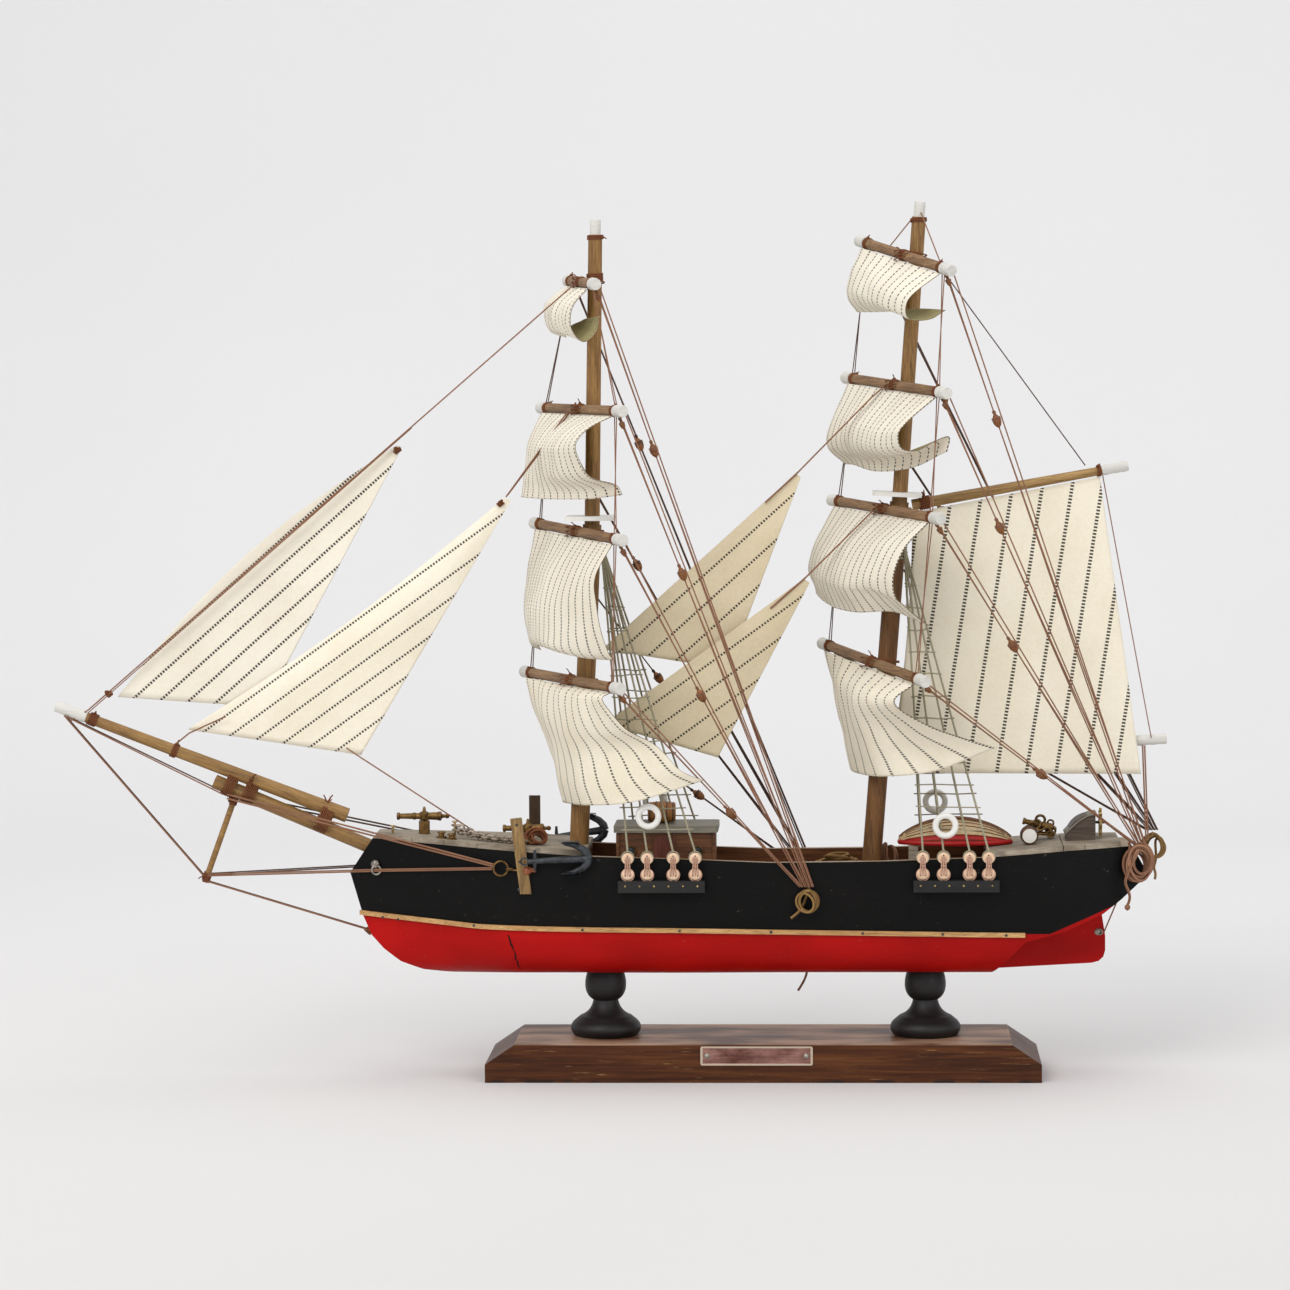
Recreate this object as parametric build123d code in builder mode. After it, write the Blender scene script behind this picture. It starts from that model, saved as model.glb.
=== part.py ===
from build123d import *
import math
import os

os.makedirs("parts", exist_ok=True)

# A two-masted sailing ship model on a turned-pillar wooden stand.
# Millimetres. +Z up, bow toward -X, port side toward -Y.
# The origin is the centre of the stand's underside.

# ---------------------------------------------------------------- dimensions

BASE_LENGTH = 238.0
BASE_DEPTH = 56.0
BASE_HEIGHT = 16.6
BASE_BEVEL_RUN = 13.0
BASE_BEVEL_DROP = 8.8

PLATE_SIZE = (48.0, 8.2, 0.6)
PLATE_CENTRE = (-2.5, 11.7)

PILLAR_X = (-68.4, 70.0)
KEEL_Z = 45.0

HULL_DEPTH_TOP = 120.0
WELL_START = -75.0
WELL_END = 96.0
WELL_FLOOR = 86.0
BULWARK = 3.0
DECK_BOARD = 2.2
MAIN_DECK_BOARD = 1.0

# Plan of the hull at the rail: distance along the ship, half breadth.
HULL_STATIONS = (
    (-184.0, 3.0),
    (-170.0, 7.5),
    (-155.0, 12.5),
    (-138.0, 18.0),
    (-120.0, 23.5),
    (-98.0, 27.4),
    (-70.0, 28.2),
    (0.0, 28.2),
    (70.0, 28.2),
    (105.0, 27.4),
    (130.0, 24.6),
    (150.0, 19.5),
    (170.0, 12.5),
)

# Side view of the hull: the underside from stem to stern, then the sheer.
STEM = (
    (-168.3, 103.4),
    (-178.6, 88.1),
    (-172.9, 69.3),
    (-169.1, 61.0),
    (-163.9, 55.5),
    (-156.5, 50.0),
    (-146.6, 46.4),
    (-134.0, KEEL_Z),
)
COUNTER = (
    (98.0, KEEL_Z),
    (112.1, 60.0),
    (129.8, 64.5),
    (145.6, 71.6),
    (153.4, 77.5),
    (165.0, 87.8),
    (158.0, 100.2),
)
SHEER = (
    (130.0, 99.0),
    (96.0, 96.6),
    (51.0, 95.1),
    (4.0, 94.6),
    (-26.0, 95.8),
    (-75.0, 97.5),
    (-106.0, 99.6),
    (-140.0, 101.7),
)

WALE_LINE = ((-174.5, 69.9), (-121.0, 65.9), (-73.0, 65.0), (43.0, 63.4), (112.0, 62.2))
WALE_HEIGHT = 2.0
WALE_PROUD = 1.2

RUDDER_OUTLINE = (
    (99.0, 45.6),
    (141.5, 47.9),
    (144.6, 48.7),
    (146.6, 50.6),
    (147.4, 53.4),
    (147.4, 59.7),
    (145.6, 71.4),
    (129.8, 64.3),
    (112.3, 59.8),
)
RUDDER_THICKNESS = 3.6

# Masts: foot, shoulder at the top platform, truck.
FORE_MAST = ((-79.5, 98.2), (-72.6, 238.0), (-70.2, 362.3), (-70.1, 368.3))
MAIN_MAST = ((46.6, 87.0), (59.6, 247.0), (68.4, 368.7), (68.9, 374.7))
LOWER_MAST_DIAMETER = 8.1
UPPER_MAST_DIAMETER = 6.2
TRUCK_DIAMETER = 4.0

YARD_DIAMETER = 4.4
YARD_GAP = 0.5

# Yards: name, mast, height at the middle, half length, brace angle, rise of
# the starboard end.
YARDS = (
    ("fore_course_yard", "fore", 171.1, 55.0, 25.8, 0.4),
    ("fore_topsail_yard", "fore", 235.2, 53.0, 24.7, 4.0),
    ("fore_topgallant_yard", "fore", 287.6, 46.6, 25.7, 0.8),
    ("fore_royal_yard", "fore", 342.0, 33.0, 13.9, 2.7),
    ("main_course_yard", "main", 178.3, 54.6, 23.6, 9.8),
    ("main_topsail_yard", "main", 244.0, 53.2, 25.5, 5.0),
    ("main_topgallant_yard", "main", 297.0, 48.8, 25.6, 6.4),
    ("main_royal_yard", "main", 352.3, 40.8, 28.0, 14.8),
)

SAIL_THICKNESS = 0.5

# Square sails: yard, head inset from the yard's ends, the forward billow and
# the downward curl at the starboard and port edges, then the foot from the
# starboard clew to the port clew.
SQUARE_SAILS = (
    ("fore_course_sail", "fore_course_yard", 7.0, (0.5, 12.0), (0.0, 0.0), (
        (-87.0, 40.0, 115.0),
        (-91.0, 20.0, 113.5),
        (-88.0, 0.0, 113.5),
        (-75.0, -24.0, 115.0),
        (-53.0, -38.5, 119.5),
        (-24.0, -39.3, 130.5),
    )),
    ("fore_topsail", "fore_topsail_yard", 7.0, (3.5, 9.0), (1.0, 3.5), (
        (-99.0, 41.0, 180.5),
        (-100.0, 24.0, 182.5),
        (-96.0, 2.0, 183.0),
        (-87.0, -18.0, 183.0),
        (-74.0, -32.0, 183.5),
        (-58.0, -42.0, 185.0),
    )),
    ("fore_topgallant_sail", "fore_topgallant_yard", 6.0, (1.0, 15.0), (0.0, 3.0), (
        (-105.0, 35.0, 249.5),
        (-101.0, 20.0, 248.5),
        (-91.0, 2.0, 248.5),
        (-81.0, -14.0, 249.5),
        (-71.0, -26.0, 251.0),
        (-58.0, -34.0, 254.0),
    )),
    ("fore_royal_sail", "fore_royal_yard", 7.0, (9.0, 10.0), (8.0, 9.5), (
        (-80.0, 20.0, 326.0),
        (-79.0, 12.0, 326.0),
        (-77.0, 3.0, 326.0),
        (-74.5, -6.0, 326.0),
        (-71.0, -14.0, 326.0),
        (-66.0, -21.0, 327.0),
    )),
    ("main_course_sail", "main_course_yard", 7.0, (0.5, 11.0), (0.0, 0.0), (
        (39.0, 40.0, 126.0),
        (36.0, 22.0, 124.5),
        (39.0, 2.0, 124.5),
        (52.0, -24.0, 126.5),
        (73.0, -35.5, 130.0),
        (99.0, -41.0, 144.0),
    )),
    ("main_topsail", "main_topsail_yard", 7.0, (6.0, 15.0), (2.0, 3.0), (
        (26.0, 41.0, 204.0),
        (26.0, 24.0, 201.5),
        (31.0, 3.0, 199.5),
        (42.0, -17.0, 199.0),
        (55.0, -32.0, 199.5),
        (70.0, -43.0, 201.0),
    )),
    ("main_topgallant_sail", "main_topgallant_yard", 6.0, (5.0, 18.0), (0.0, 11.0), (
        (32.0, 37.0, 266.0),
        (36.0, 22.0, 264.5),
        (45.0, 4.0, 264.0),
        (56.0, -13.0, 266.0),
        (68.0, -26.0, 270.0),
        (81.0, -36.0, 275.5),
    )),
    ("main_royal_sail", "main_royal_yard", 6.0, (6.0, 15.0), (2.0, 9.0), (
        (39.0, 28.0, 332.0),
        (42.0, 18.0, 331.0),
        (49.0, 6.0, 330.0),
        (58.0, -6.0, 329.0),
        (68.0, -17.0, 328.0),
        (78.0, -27.0, 328.5),
    )),
)

# Fore-and-aft sails: tack, clew, peak, head (the last two close together on a
# triangular sail), then the sideways belly.
TRIANGLE_SAILS = (
    ("flying_jib", ((-280.5, 159.4), (-216.0, 159.0), (-154.6, 272.0), (-157.0, 272.6)), 1.4, 1.5),
    ("inner_jib", ((-249.5, 150.0), (-173.8, 138.7), (-107.6, 248.6), (-110.4, 249.6)), 0.0, -3.0),
    ("upper_staysail", ((-69.0, 184.0), (-14.5, 175.2), (17.4, 258.0), (15.0, 259.2)), 2.4, 1.0),
    ("lower_staysail", ((-68.0, 152.0), (-19.0, 137.3), (21.0, 212.6), (18.4, 214.2)), -2.4, -1.0),
    ("spanker_sail", ((54.8, 130.2), (162.9, 129.4), (145.4, 257.2), (65.4, 242.4)), 0.0, -2.0),
)

BOWSPRIT = ((-160.0, 94.5), (-237.8, 127.4))
BOWSPRIT_DIAMETER = 6.2
JIB_BOOM = ((-180.1, 112.4), (-306.2, 160.4))
JIB_BOOM_BUTT = 6.4
JIB_BOOM_TIP = 4.3
STRIKER = ((-228.2, 122.8), (-242.5, 83.8))
STRIKER_DIAMETER = 2.6

GAFF = ((65.0, 245.6), (156.9, 261.8))
GAFF_DIAMETERS = (4.8, 3.6)
BOOM = ((55.6, 136.5), (173.6, 144.2))
BOOM_Y = 4.4
BOOM_DIAMETERS = (4.6, 3.8)

FORE_DEADEYES = (-56.8, -48.5, -37.4, -28.0)
MAIN_DEADEYES = (68.6, 77.4, 88.4, 96.5)
DEADEYE_DIAMETER = 5.0
DEADEYE_THICKNESS = 2.0
DEADEYE_Y = 32.0
LOWER_DEADEYE_Z = 90.2
UPPER_DEADEYE_Z = 96.9
CHANNEL_Z = (82.4, 87.4)
CHANNEL_Y = 33.2
FORE_CHANNEL = (-61.0, -24.0)
MAIN_CHANNEL = (64.6, 101.0)

SHROUD_DIAMETER = 0.9
RATLINE_DIAMETER = 0.6
RATLINE_STEP = 9.3
FORE_SHROUD_TOP = (-68.6, 3.2, 229.0)
MAIN_SHROUD_TOP = (61.6, 3.2, 228.0)

CORD = 0.8
THIN_CORD = 0.6

HANK_FORE = (19.2, 31.6, 78.7)
HANK_STERN_PORT = (161.0, -20.4, 94.0)
HANK_STERN_STARBOARD = (168.2, 9.0, 97.0)


# ------------------------------------------------------------- shared pieces

def rod(start, end, diameter, end_diameter=None):
    """A round spar or taut cord between two points, tapered if asked."""
    axis = Vector(*end) - Vector(*start)
    with BuildPart() as piece:
        with BuildSketch(Plane(origin=start, z_dir=axis)):
            Circle(diameter / 2)
        if end_diameter is None:
            extrude(amount=axis.length)
        else:
            with BuildSketch(Plane(origin=end, z_dir=axis)):
                Circle(end_diameter / 2)
            loft()
    return piece.part


def disc(centre, axis, diameter, thickness):
    """A short cylinder centred on a point."""
    direction = Vector(*axis).normalized()
    start = Vector(*centre) - direction * (thickness / 2)
    return rod(tuple(start), tuple(start + direction * thickness), diameter)


def ring(centre, axis, outer_diameter, wire):
    """A round-section ring; outer_diameter is measured over the wire."""
    turn_radius = (outer_diameter - wire) / 2
    frame = Plane(origin=centre, z_dir=axis)
    with BuildPart() as piece:
        with BuildSketch(Plane(origin=frame.origin + frame.x_dir * turn_radius,
                               x_dir=frame.x_dir, z_dir=frame.y_dir)):
            Circle(wire / 2)
        revolve(axis=Axis(centre, tuple(frame.z_dir)))
    return piece.part


def box(x_range, y_range, z_range):
    """A block given by its three ranges."""
    with BuildPart() as piece:
        with BuildSketch(Plane.XY.offset(z_range[0])):
            with Locations(((x_range[0] + x_range[1]) / 2, (y_range[0] + y_range[1]) / 2)):
                Rectangle(x_range[1] - x_range[0], y_range[1] - y_range[0])
        extrude(amount=z_range[1] - z_range[0])
    return piece.part


def cloth(grid):
    """A thin closed sheet through a grid of points."""
    surface = Face.make_surface_from_array_of_points(
        [[Vector(*point) for point in row] for row in grid], smoothing=None, tol=0.01, min_deg=1, max_deg=3)
    with BuildPart() as piece:
        thicken(to_thicken=surface, amount=SAIL_THICKNESS / 2, both=True)
    return piece.part


def finish(name, part):
    """Label a finished piece and write it to its own file."""
    part.label = name
    export_step(part, f"parts/{name}.step")


def on_line(start, end, amount):
    """The point at a fraction of the way between two points."""
    return tuple(a + (b - a) * amount for a, b in zip(start, end))


# --------------------------------------------------------------------- stand

def base_profile():
    half = BASE_LENGTH / 2
    shoulder = BASE_HEIGHT - BASE_BEVEL_DROP
    return (
        (-half, 0),
        (half, 0),
        (half, shoulder),
        (half - BASE_BEVEL_RUN, BASE_HEIGHT),
        (-half + BASE_BEVEL_RUN, BASE_HEIGHT),
        (-half, shoulder),
    )


with BuildPart() as base_board:
    with BuildSketch(Plane.XZ.offset(-BASE_DEPTH / 2)):
        with BuildLine():
            Polyline(*base_profile(), close=True)
        make_face()
    extrude(amount=BASE_DEPTH)
finish("base_board", base_board.part)

with BuildPart() as name_plate:
    with BuildSketch(Plane.XZ.offset(BASE_DEPTH / 2)):
        with Locations(PLATE_CENTRE):
            RectangleRounded(PLATE_SIZE[0], PLATE_SIZE[1], 0.8)
    extrude(amount=PLATE_SIZE[2])
finish("name_plate", name_plate.part)


def pillar(x):
    """A turned pillar: wide foot with a ridge, thin neck and a ball."""
    with BuildPart() as piece:
        with BuildSketch(Plane.XZ):
            with BuildLine():
                Line((x, BASE_HEIGHT), (x + 13.6, BASE_HEIGHT))
                Spline(
                    (x + 13.6, BASE_HEIGHT),
                    (x + 15.2, BASE_HEIGHT + 3.6),
                    (x + 12.9, BASE_HEIGHT + 7.0),
                )
                Line((x + 12.9, BASE_HEIGHT + 7.0), (x + 11.2, BASE_HEIGHT + 8.4))
                Spline(
                    (x + 11.2, BASE_HEIGHT + 8.4),
                    (x + 7.0, BASE_HEIGHT + 11.4),
                    (x + 5.4, BASE_HEIGHT + 15.4),
                )
                Spline(
                    (x + 5.4, BASE_HEIGHT + 15.4),
                    (x + 8.0, BASE_HEIGHT + 18.0),
                    (x + 8.9, BASE_HEIGHT + 22.4),
                    (x + 7.6, KEEL_Z),
                )
                Line((x + 7.6, KEEL_Z), (x, KEEL_Z))
                Line((x, KEEL_Z), (x, BASE_HEIGHT))
            make_face()
        revolve(axis=Axis((x, 0, 0), (0, 0, 1)))
    return piece.part


with BuildPart() as stand_pillars:
    add([pillar(x) for x in PILLAR_X])
finish("stand_pillars", stand_pillars.part)

# ---------------------------------------------------------------------- hull


def half_section(half):
    """Half of one hull section as (y, z) points from the keel to the top."""
    return (
        (0.0, KEEL_Z),
        (half * 0.40, KEEL_Z + 0.2),
        (half * 0.72, KEEL_Z + 3.6),
        (half * 0.90, KEEL_Z + 10.0),
        (half * 0.97, KEEL_Z + 20.0),
        (half, KEEL_Z + 42.0),
        (half, HULL_DEPTH_TOP),
    )


def hull_form(swell):
    """The whole hull shape before its side view is cut, swelled outward."""
    with BuildPart() as form:
        for station, half in HULL_STATIONS:
            with BuildSketch(Plane.YZ.offset(station)):
                with BuildLine():
                    points = half_section(half + swell)
                    Spline(*points)
                    Line(points[-1], (0, HULL_DEPTH_TOP))
                    Line((0, HULL_DEPTH_TOP), points[0])
                make_face()
        loft()
        mirror(about=Plane.XZ)
    return form.part


def side_slab(outline, half_depth):
    """A slab as deep as the ship with the given side view."""
    with BuildPart() as slab:
        with BuildSketch(Plane.XZ.offset(-half_depth)):
            with BuildLine():
                Polyline(*outline, close=True)
            make_face()
        extrude(amount=2 * half_depth)
    return slab.part


def sheer_height(x):
    """Height of the hull's top edge at a station."""
    line = sorted(SHEER + (COUNTER[-1], STEM[0]))
    for (x0, z0), (x1, z1) in zip(line, line[1:]):
        if x0 <= x <= x1:
            return z0 + (z1 - z0) * (x - x0) / (x1 - x0)
    return line[-1][1]


HULL_SHAPE = hull_form(0.0)
SIDE_VIEW = side_slab(STEM + COUNTER + SHEER, 60)

with BuildPart() as hull_block:
    add(HULL_SHAPE)
    add(SIDE_VIEW, mode=Mode.INTERSECT)
    with BuildSketch(Plane.XY.offset(WELL_FLOOR)):
        with Locations(((WELL_START + WELL_END) / 2, 0)):
            Rectangle(WELL_END - WELL_START, 2 * (27.4 - BULWARK))
    extrude(amount=HULL_DEPTH_TOP - WELL_FLOOR, mode=Mode.SUBTRACT)
finish("hull_block", hull_block.part)


def band(line, rise):
    """Side view of a band that follows a line and has a constant height."""
    upper = tuple((x, z + rise) for x, z in reversed(line))
    return tuple(line) + upper


with BuildPart() as wale_strips:
    add(hull_form(WALE_PROUD))
    add(side_slab(band(WALE_LINE, WALE_HEIGHT), 60), mode=Mode.INTERSECT)
    add(HULL_SHAPE, mode=Mode.SUBTRACT)
finish("wale_strips", wale_strips.part)

with BuildPart() as rudder_board:
    add(side_slab(RUDDER_OUTLINE, RUDDER_THICKNESS / 2))
    add(hull_block.part, mode=Mode.SUBTRACT)
finish("rudder_board", rudder_board.part)


def deck_board(stations):
    """A deck board lying on the hull's top edge over the given stations."""
    line = tuple((x, sheer_height(x)) for x in stations)
    with BuildPart() as board:
        add(HULL_SHAPE)
        add(side_slab(band(line, DECK_BOARD), 60), mode=Mode.INTERSECT)
        add(SIDE_VIEW, mode=Mode.SUBTRACT)
    return board.part


with BuildPart() as forecastle_deck:
    add(deck_board((-166.8, -140.0, -106.0, -75.0)))
finish("forecastle_deck", forecastle_deck.part)

with BuildPart() as quarter_deck:
    add(deck_board((96.0, 128.2)))
    add(deck_board((128.6, 130.0, 153.0)))
finish("quarter_deck", quarter_deck.part)

BOAT_Z = 99.8
BOAT_REST = (63.0, 67.0, BOAT_Z)

with BuildPart() as main_deck:
    add(box((WELL_START + 0.1, WELL_END - 0.1), (-24.3, 24.3), (WELL_FLOOR, WELL_FLOOR + MAIN_DECK_BOARD)))
    add(box(BOAT_REST[:2], (-6, 6), (WELL_FLOOR + 0.5, BOAT_REST[2])))
finish("main_deck", main_deck.part)

with BuildPart() as channels:
    for side in (-1, 1):
        for start, end in (FORE_CHANNEL, MAIN_CHANNEL):
            near, far = sorted((side * 26.0, side * CHANNEL_Y))
            add(box((start, end), (near, far), CHANNEL_Z))
    add(HULL_SHAPE, mode=Mode.SUBTRACT)
finish("channels", channels.part)


CATHEAD_FACE = 26.0
CATHEAD_THICKNESS = 3.2


def cathead(foot, head, side):
    """A flat batten nailed upright against the ship's side."""
    lean = (head[0] - foot[0]) / (head[1] - foot[1])
    with BuildPart() as piece:
        with BuildSketch(Plane.XZ.offset(-side * CATHEAD_FACE)):
            with BuildLine():
                Polyline(
                    (foot[0] - 2.4, foot[1]),
                    (foot[0] + 2.4, foot[1]),
                    (head[0] + 2.4, head[1] - 4.8 * lean),
                    (head[0] - 2.4, head[1]),
                    close=True,
                )
            make_face()
        extrude(amount=-side * CATHEAD_THICKNESS)
        add(HULL_SHAPE, mode=Mode.SUBTRACT)
    return piece.part


with BuildPart() as catheads:
    add(cathead((-100.6, 81.5), (-104.6, 113.6), -1))
    add(cathead((-100.6, 81.5), (-100.6, 118.0), 1))
finish("catheads", catheads.part)

# ------------------------------------------------------------- deck furniture

HOUSE_X = (-62.3, -20.2)
HOUSE_ROOF_Z = (106.0, 108.8)

with BuildPart() as deckhouse:
    add(box(HOUSE_X, (-12, 12), (WELL_FLOOR + MAIN_DECK_BOARD, HOUSE_ROOF_Z[0])))
    with BuildSketch(Plane.XZ.offset(12.8)):
        with Locations((-42.0, 95.8)):
            Rectangle(9.6, 17.6)
        with Locations((-56.4, 98.0), (-27.6, 98.0)):
            Circle(2.2)
    extrude(amount=-1.0)
finish("deckhouse", deckhouse.part)

with BuildPart() as deckhouse_roof:
    with BuildSketch(Plane.XY.offset(HOUSE_ROOF_Z[0])):
        with Locations((-41.3, 0)):
            RectangleRounded(44.8, 28.0, 1.5)
    extrude(amount=HOUSE_ROOF_Z[1] - HOUSE_ROOF_Z[0])
finish("deckhouse_roof", deckhouse_roof.part)


def cask(start, end, diameter):
    """A small cask: bulged staves between two flat heads."""
    axis = Vector(*end) - Vector(*start)
    length = axis.length
    with BuildPart() as piece:
        with BuildSketch(Plane.XZ):
            with BuildLine():
                Line((0, 0), (diameter * 0.42, 0))
                ThreePointArc((diameter * 0.42, 0), (diameter / 2, length / 2), (diameter * 0.42, length))
                Line((diameter * 0.42, length), (0, length))
                Line((0, length), (0, 0))
            make_face()
        revolve(axis=Axis.Z)
    return Plane(origin=start, z_dir=axis) * piece.part


with BuildPart() as casks:
    add(cask((-49.4, 0, 113.5), (-37.6, 0, 113.5), 9.4))
    add(cask((114.6, -12.4, 104.1), (114.6, -3.6, 104.1), 7.6))
finish("casks", casks.part)

BOAT_X = (58.6, 107.4)
BOAT_HALF_WIDTH = 10.6

with BuildPart() as lifeboat:
    with BuildSketch(Plane.XY.offset(BOAT_Z)):
        with BuildLine():
            middle = (BOAT_X[0] + BOAT_X[1]) / 2
            Spline(
                (BOAT_X[0], 0),
                (BOAT_X[0] + 6, BOAT_HALF_WIDTH * 0.66),
                (middle, BOAT_HALF_WIDTH),
                (BOAT_X[1] - 6, BOAT_HALF_WIDTH * 0.66),
                (BOAT_X[1], 0),
            )
            Line((BOAT_X[1], 0), (BOAT_X[0], 0))
        make_face()
    revolve(axis=Axis((0, 0, BOAT_Z), (1, 0, 0)), revolution_arc=180)
    add(box((BOAT_X[0] + 4, BOAT_X[1] - 4), (-0.6, 0.6), (BOAT_Z + 3.0, BOAT_Z + 11.4)))
finish("lifeboat", lifeboat.part)

FORE_POST = (-146.6, 0.0)
AFT_POST = (-101.6, 0.0)
POST_TOP = (110.0, 104.6)
GUN_AXIS_Z = (112.0, 106.6)
PIVOT_PIN = 1.0


def gun_post(place, top):
    """An eight-sided post with a pin standing in its top."""
    floor = sheer_height(place[0]) + DECK_BOARD
    with BuildPart() as piece:
        with BuildSketch(Plane.XY.offset(floor - 1.0)):
            with Locations(place):
                RegularPolygon(2.4, 8)
        extrude(amount=top - floor + 1.0)
        with BuildSketch(Plane.XY.offset(top)):
            with Locations(place):
                Circle(PIVOT_PIN / 2)
        extrude(amount=5.0)
    return piece.part


with BuildPart() as gun_posts:
    add([gun_post(FORE_POST, POST_TOP[0]), gun_post(AFT_POST, POST_TOP[1])])
    add(forecastle_deck.part, mode=Mode.SUBTRACT)
finish("gun_posts", gun_posts.part)


def swivel_gun(place, post_top, length):
    """A small gun that turns on the post's pin, muzzle toward the bow."""
    height = post_top + 2.0
    front = place[0] - length * 0.52
    with BuildPart() as piece:
        with BuildSketch(Plane(origin=(front, place[1], height), z_dir=(1, 0, 0))):
            Circle(1.1)
        with BuildSketch(Plane(origin=(front + length * 0.8, place[1], height), z_dir=(1, 0, 0))):
            Circle(1.7)
        loft()
        add(disc((front + 0.7, place[1], height), (1, 0, 0), 3.2, 1.4))
        add(disc((front + length * 0.80, place[1], height), (1, 0, 0), 4.0, 1.2))
        add(rod((front + length * 0.80, place[1], height), (front + length, place[1], height), 1.3))
        add(disc((place[0], place[1], height), (0, 0, 1), 4.6, 3.4))
        with BuildSketch(Plane.XY.offset(post_top - 1)):
            with Locations(place):
                Circle(PIVOT_PIN / 2 + 0.06)
        extrude(amount=8, mode=Mode.SUBTRACT)
    return piece.part


finish("fore_gun", swivel_gun(FORE_POST, POST_TOP[0], 23.0))
finish("aft_gun", swivel_gun(AFT_POST, POST_TOP[1], 21.0))


def anchor(ring_end, crown, rise):
    """An anchor: shank, stock, two curved arms with palms."""
    x0, y0, z0 = ring_end
    x1, y1, z1 = crown
    with BuildPart() as piece:
        add(rod(ring_end, crown, 2.3))
        add(rod((x0 + 3, y0, z0 + 5.0), (x0 + 3, y0, z0 - 4.0), 1.5))
        for side in (-1, 1):
            elbow = (x1 - 3.5, y1, z1 + side * rise * 0.66)
            point = (x1 - 11.0, y1, z1 + side * rise)
            add(rod(crown, elbow, 2.5, 2.2))
            add(rod(elbow, point, 2.2, 1.5))
            add(disc(point, (0.4, 0, side), 4.6, 1.0))
    return piece.part


with BuildPart() as anchors:
    add(anchor((-99.4, -31.4, 95.7), (-73.4, -31.4, 97.0), 6.4))
    add(anchor((-94.4, 31.4, 99.0), (-70.0, 31.4, 102.4), 6.2))
finish("anchors", anchors.part)

HOOD_X = (130.4, 143.0)
HOOD_FLOOR = 101.0
WHEEL_X = 145.4
WHEEL_Z = HOOD_FLOOR + 7.6
WHEEL_PIN = 1.2

with BuildPart() as companion_hood:
    with BuildSketch(Plane.XZ.offset(-7)):
        with BuildLine():
            Line((HOOD_X[0], HOOD_FLOOR), (HOOD_X[1], HOOD_FLOOR))
            Line((HOOD_X[1], HOOD_FLOOR), (HOOD_X[1], HOOD_FLOOR + 11.4))
            ThreePointArc((HOOD_X[1], HOOD_FLOOR + 11.4), (HOOD_X[0] + 3.2, HOOD_FLOOR + 8.2),
                          (HOOD_X[0], HOOD_FLOOR))
        make_face()
    extrude(amount=14)
    with BuildSketch(Plane.YZ.offset(HOOD_X[1])):
        with Locations((0, WHEEL_Z)):
            Circle(WHEEL_PIN / 2)
    extrude(amount=4.2)
    add(quarter_deck.part, mode=Mode.SUBTRACT)
finish("companion_hood", companion_hood.part)

WHEEL_RIM = 9.0
WHEEL_HANDLES = 12.4

with BuildPart() as ships_wheel:
    with BuildSketch(Plane.YZ.offset(WHEEL_X - 0.6)):
        with Locations((0, WHEEL_Z)):
            Circle(WHEEL_RIM / 2)
            Circle(WHEEL_RIM / 2 - 1.1, mode=Mode.SUBTRACT)
            Circle(1.6)
            for turn in range(4):
                Rectangle(WHEEL_HANDLES, 0.8, rotation=45 * turn)
            Circle(WHEEL_PIN / 2 + 0.06, mode=Mode.SUBTRACT)
    extrude(amount=1.2)
finish("ships_wheel", ships_wheel.part)

CANNON_DECK = 101.2

with BuildPart() as deck_cannon:
    add(box((114.4, 126.0), (4.0, 9.0), (CANNON_DECK + 1.2, CANNON_DECK + 3.6)))
    for x in (116.2, 124.2):
        add(disc((x, 6.5, CANNON_DECK + 1.7), (0, 1, 0), 3.4, 7.4))
    add(rod((112.4, 6.5, CANNON_DECK + 7.4), (126.4, 6.5, CANNON_DECK + 4.0), 2.6, 3.8))
    add(ring((120.0, 6.5, CANNON_DECK + 7.6), (0, 1, 0), 5.2, 1.3))
finish("deck_cannon", deck_cannon.part)

# -------------------------------------------------------------- masts, spars


def mast(points):
    """Lower mast, thinner topmast and a short truck at the head."""
    foot, shoulder, top, truck = [(x, 0.0, z) for x, z in points]
    with BuildPart() as piece:
        add(rod(foot, shoulder, LOWER_MAST_DIAMETER + 0.2, LOWER_MAST_DIAMETER))
        add(rod(on_line(shoulder, top, -0.04), top, UPPER_MAST_DIAMETER + 0.4, UPPER_MAST_DIAMETER - 0.2))
        add(rod(on_line(top, truck, -0.2), truck, TRUCK_DIAMETER))
        add(box((foot[0] - 8, foot[0] + 8), (-8, 8), (foot[2] - 6, foot[2])), mode=Mode.SUBTRACT)
        add(forecastle_deck.part, mode=Mode.SUBTRACT)
    return piece.part


finish("fore_mast", mast(FORE_MAST))
finish("main_mast", mast(MAIN_MAST))

TOP_SIZE = (21.0, 22.0, 1.8)
TOP_CENTRES = ((-73.2, 240.9, 0.0), (58.6, 250.4, -3.0))

with BuildPart() as mast_tops:
    for x, z, tilt in TOP_CENTRES:
        with BuildSketch(Plane(origin=(x, 0, z), x_dir=(math.cos(math.radians(tilt)), 0, math.sin(math.radians(tilt))),
                               z_dir=(-math.sin(math.radians(tilt)), 0, math.cos(math.radians(tilt))))):
            RectangleRounded(TOP_SIZE[0], TOP_SIZE[1], 3.0)
        extrude(amount=TOP_SIZE[2] / 2, both=True)
    add(mast(FORE_MAST), mode=Mode.SUBTRACT)
    add(mast(MAIN_MAST), mode=Mode.SUBTRACT)
finish("mast_tops", mast_tops.part)


def flat(point, y=0.0):
    """A side-view point placed across the ship at y."""
    return (point[0], y, point[1])


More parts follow.
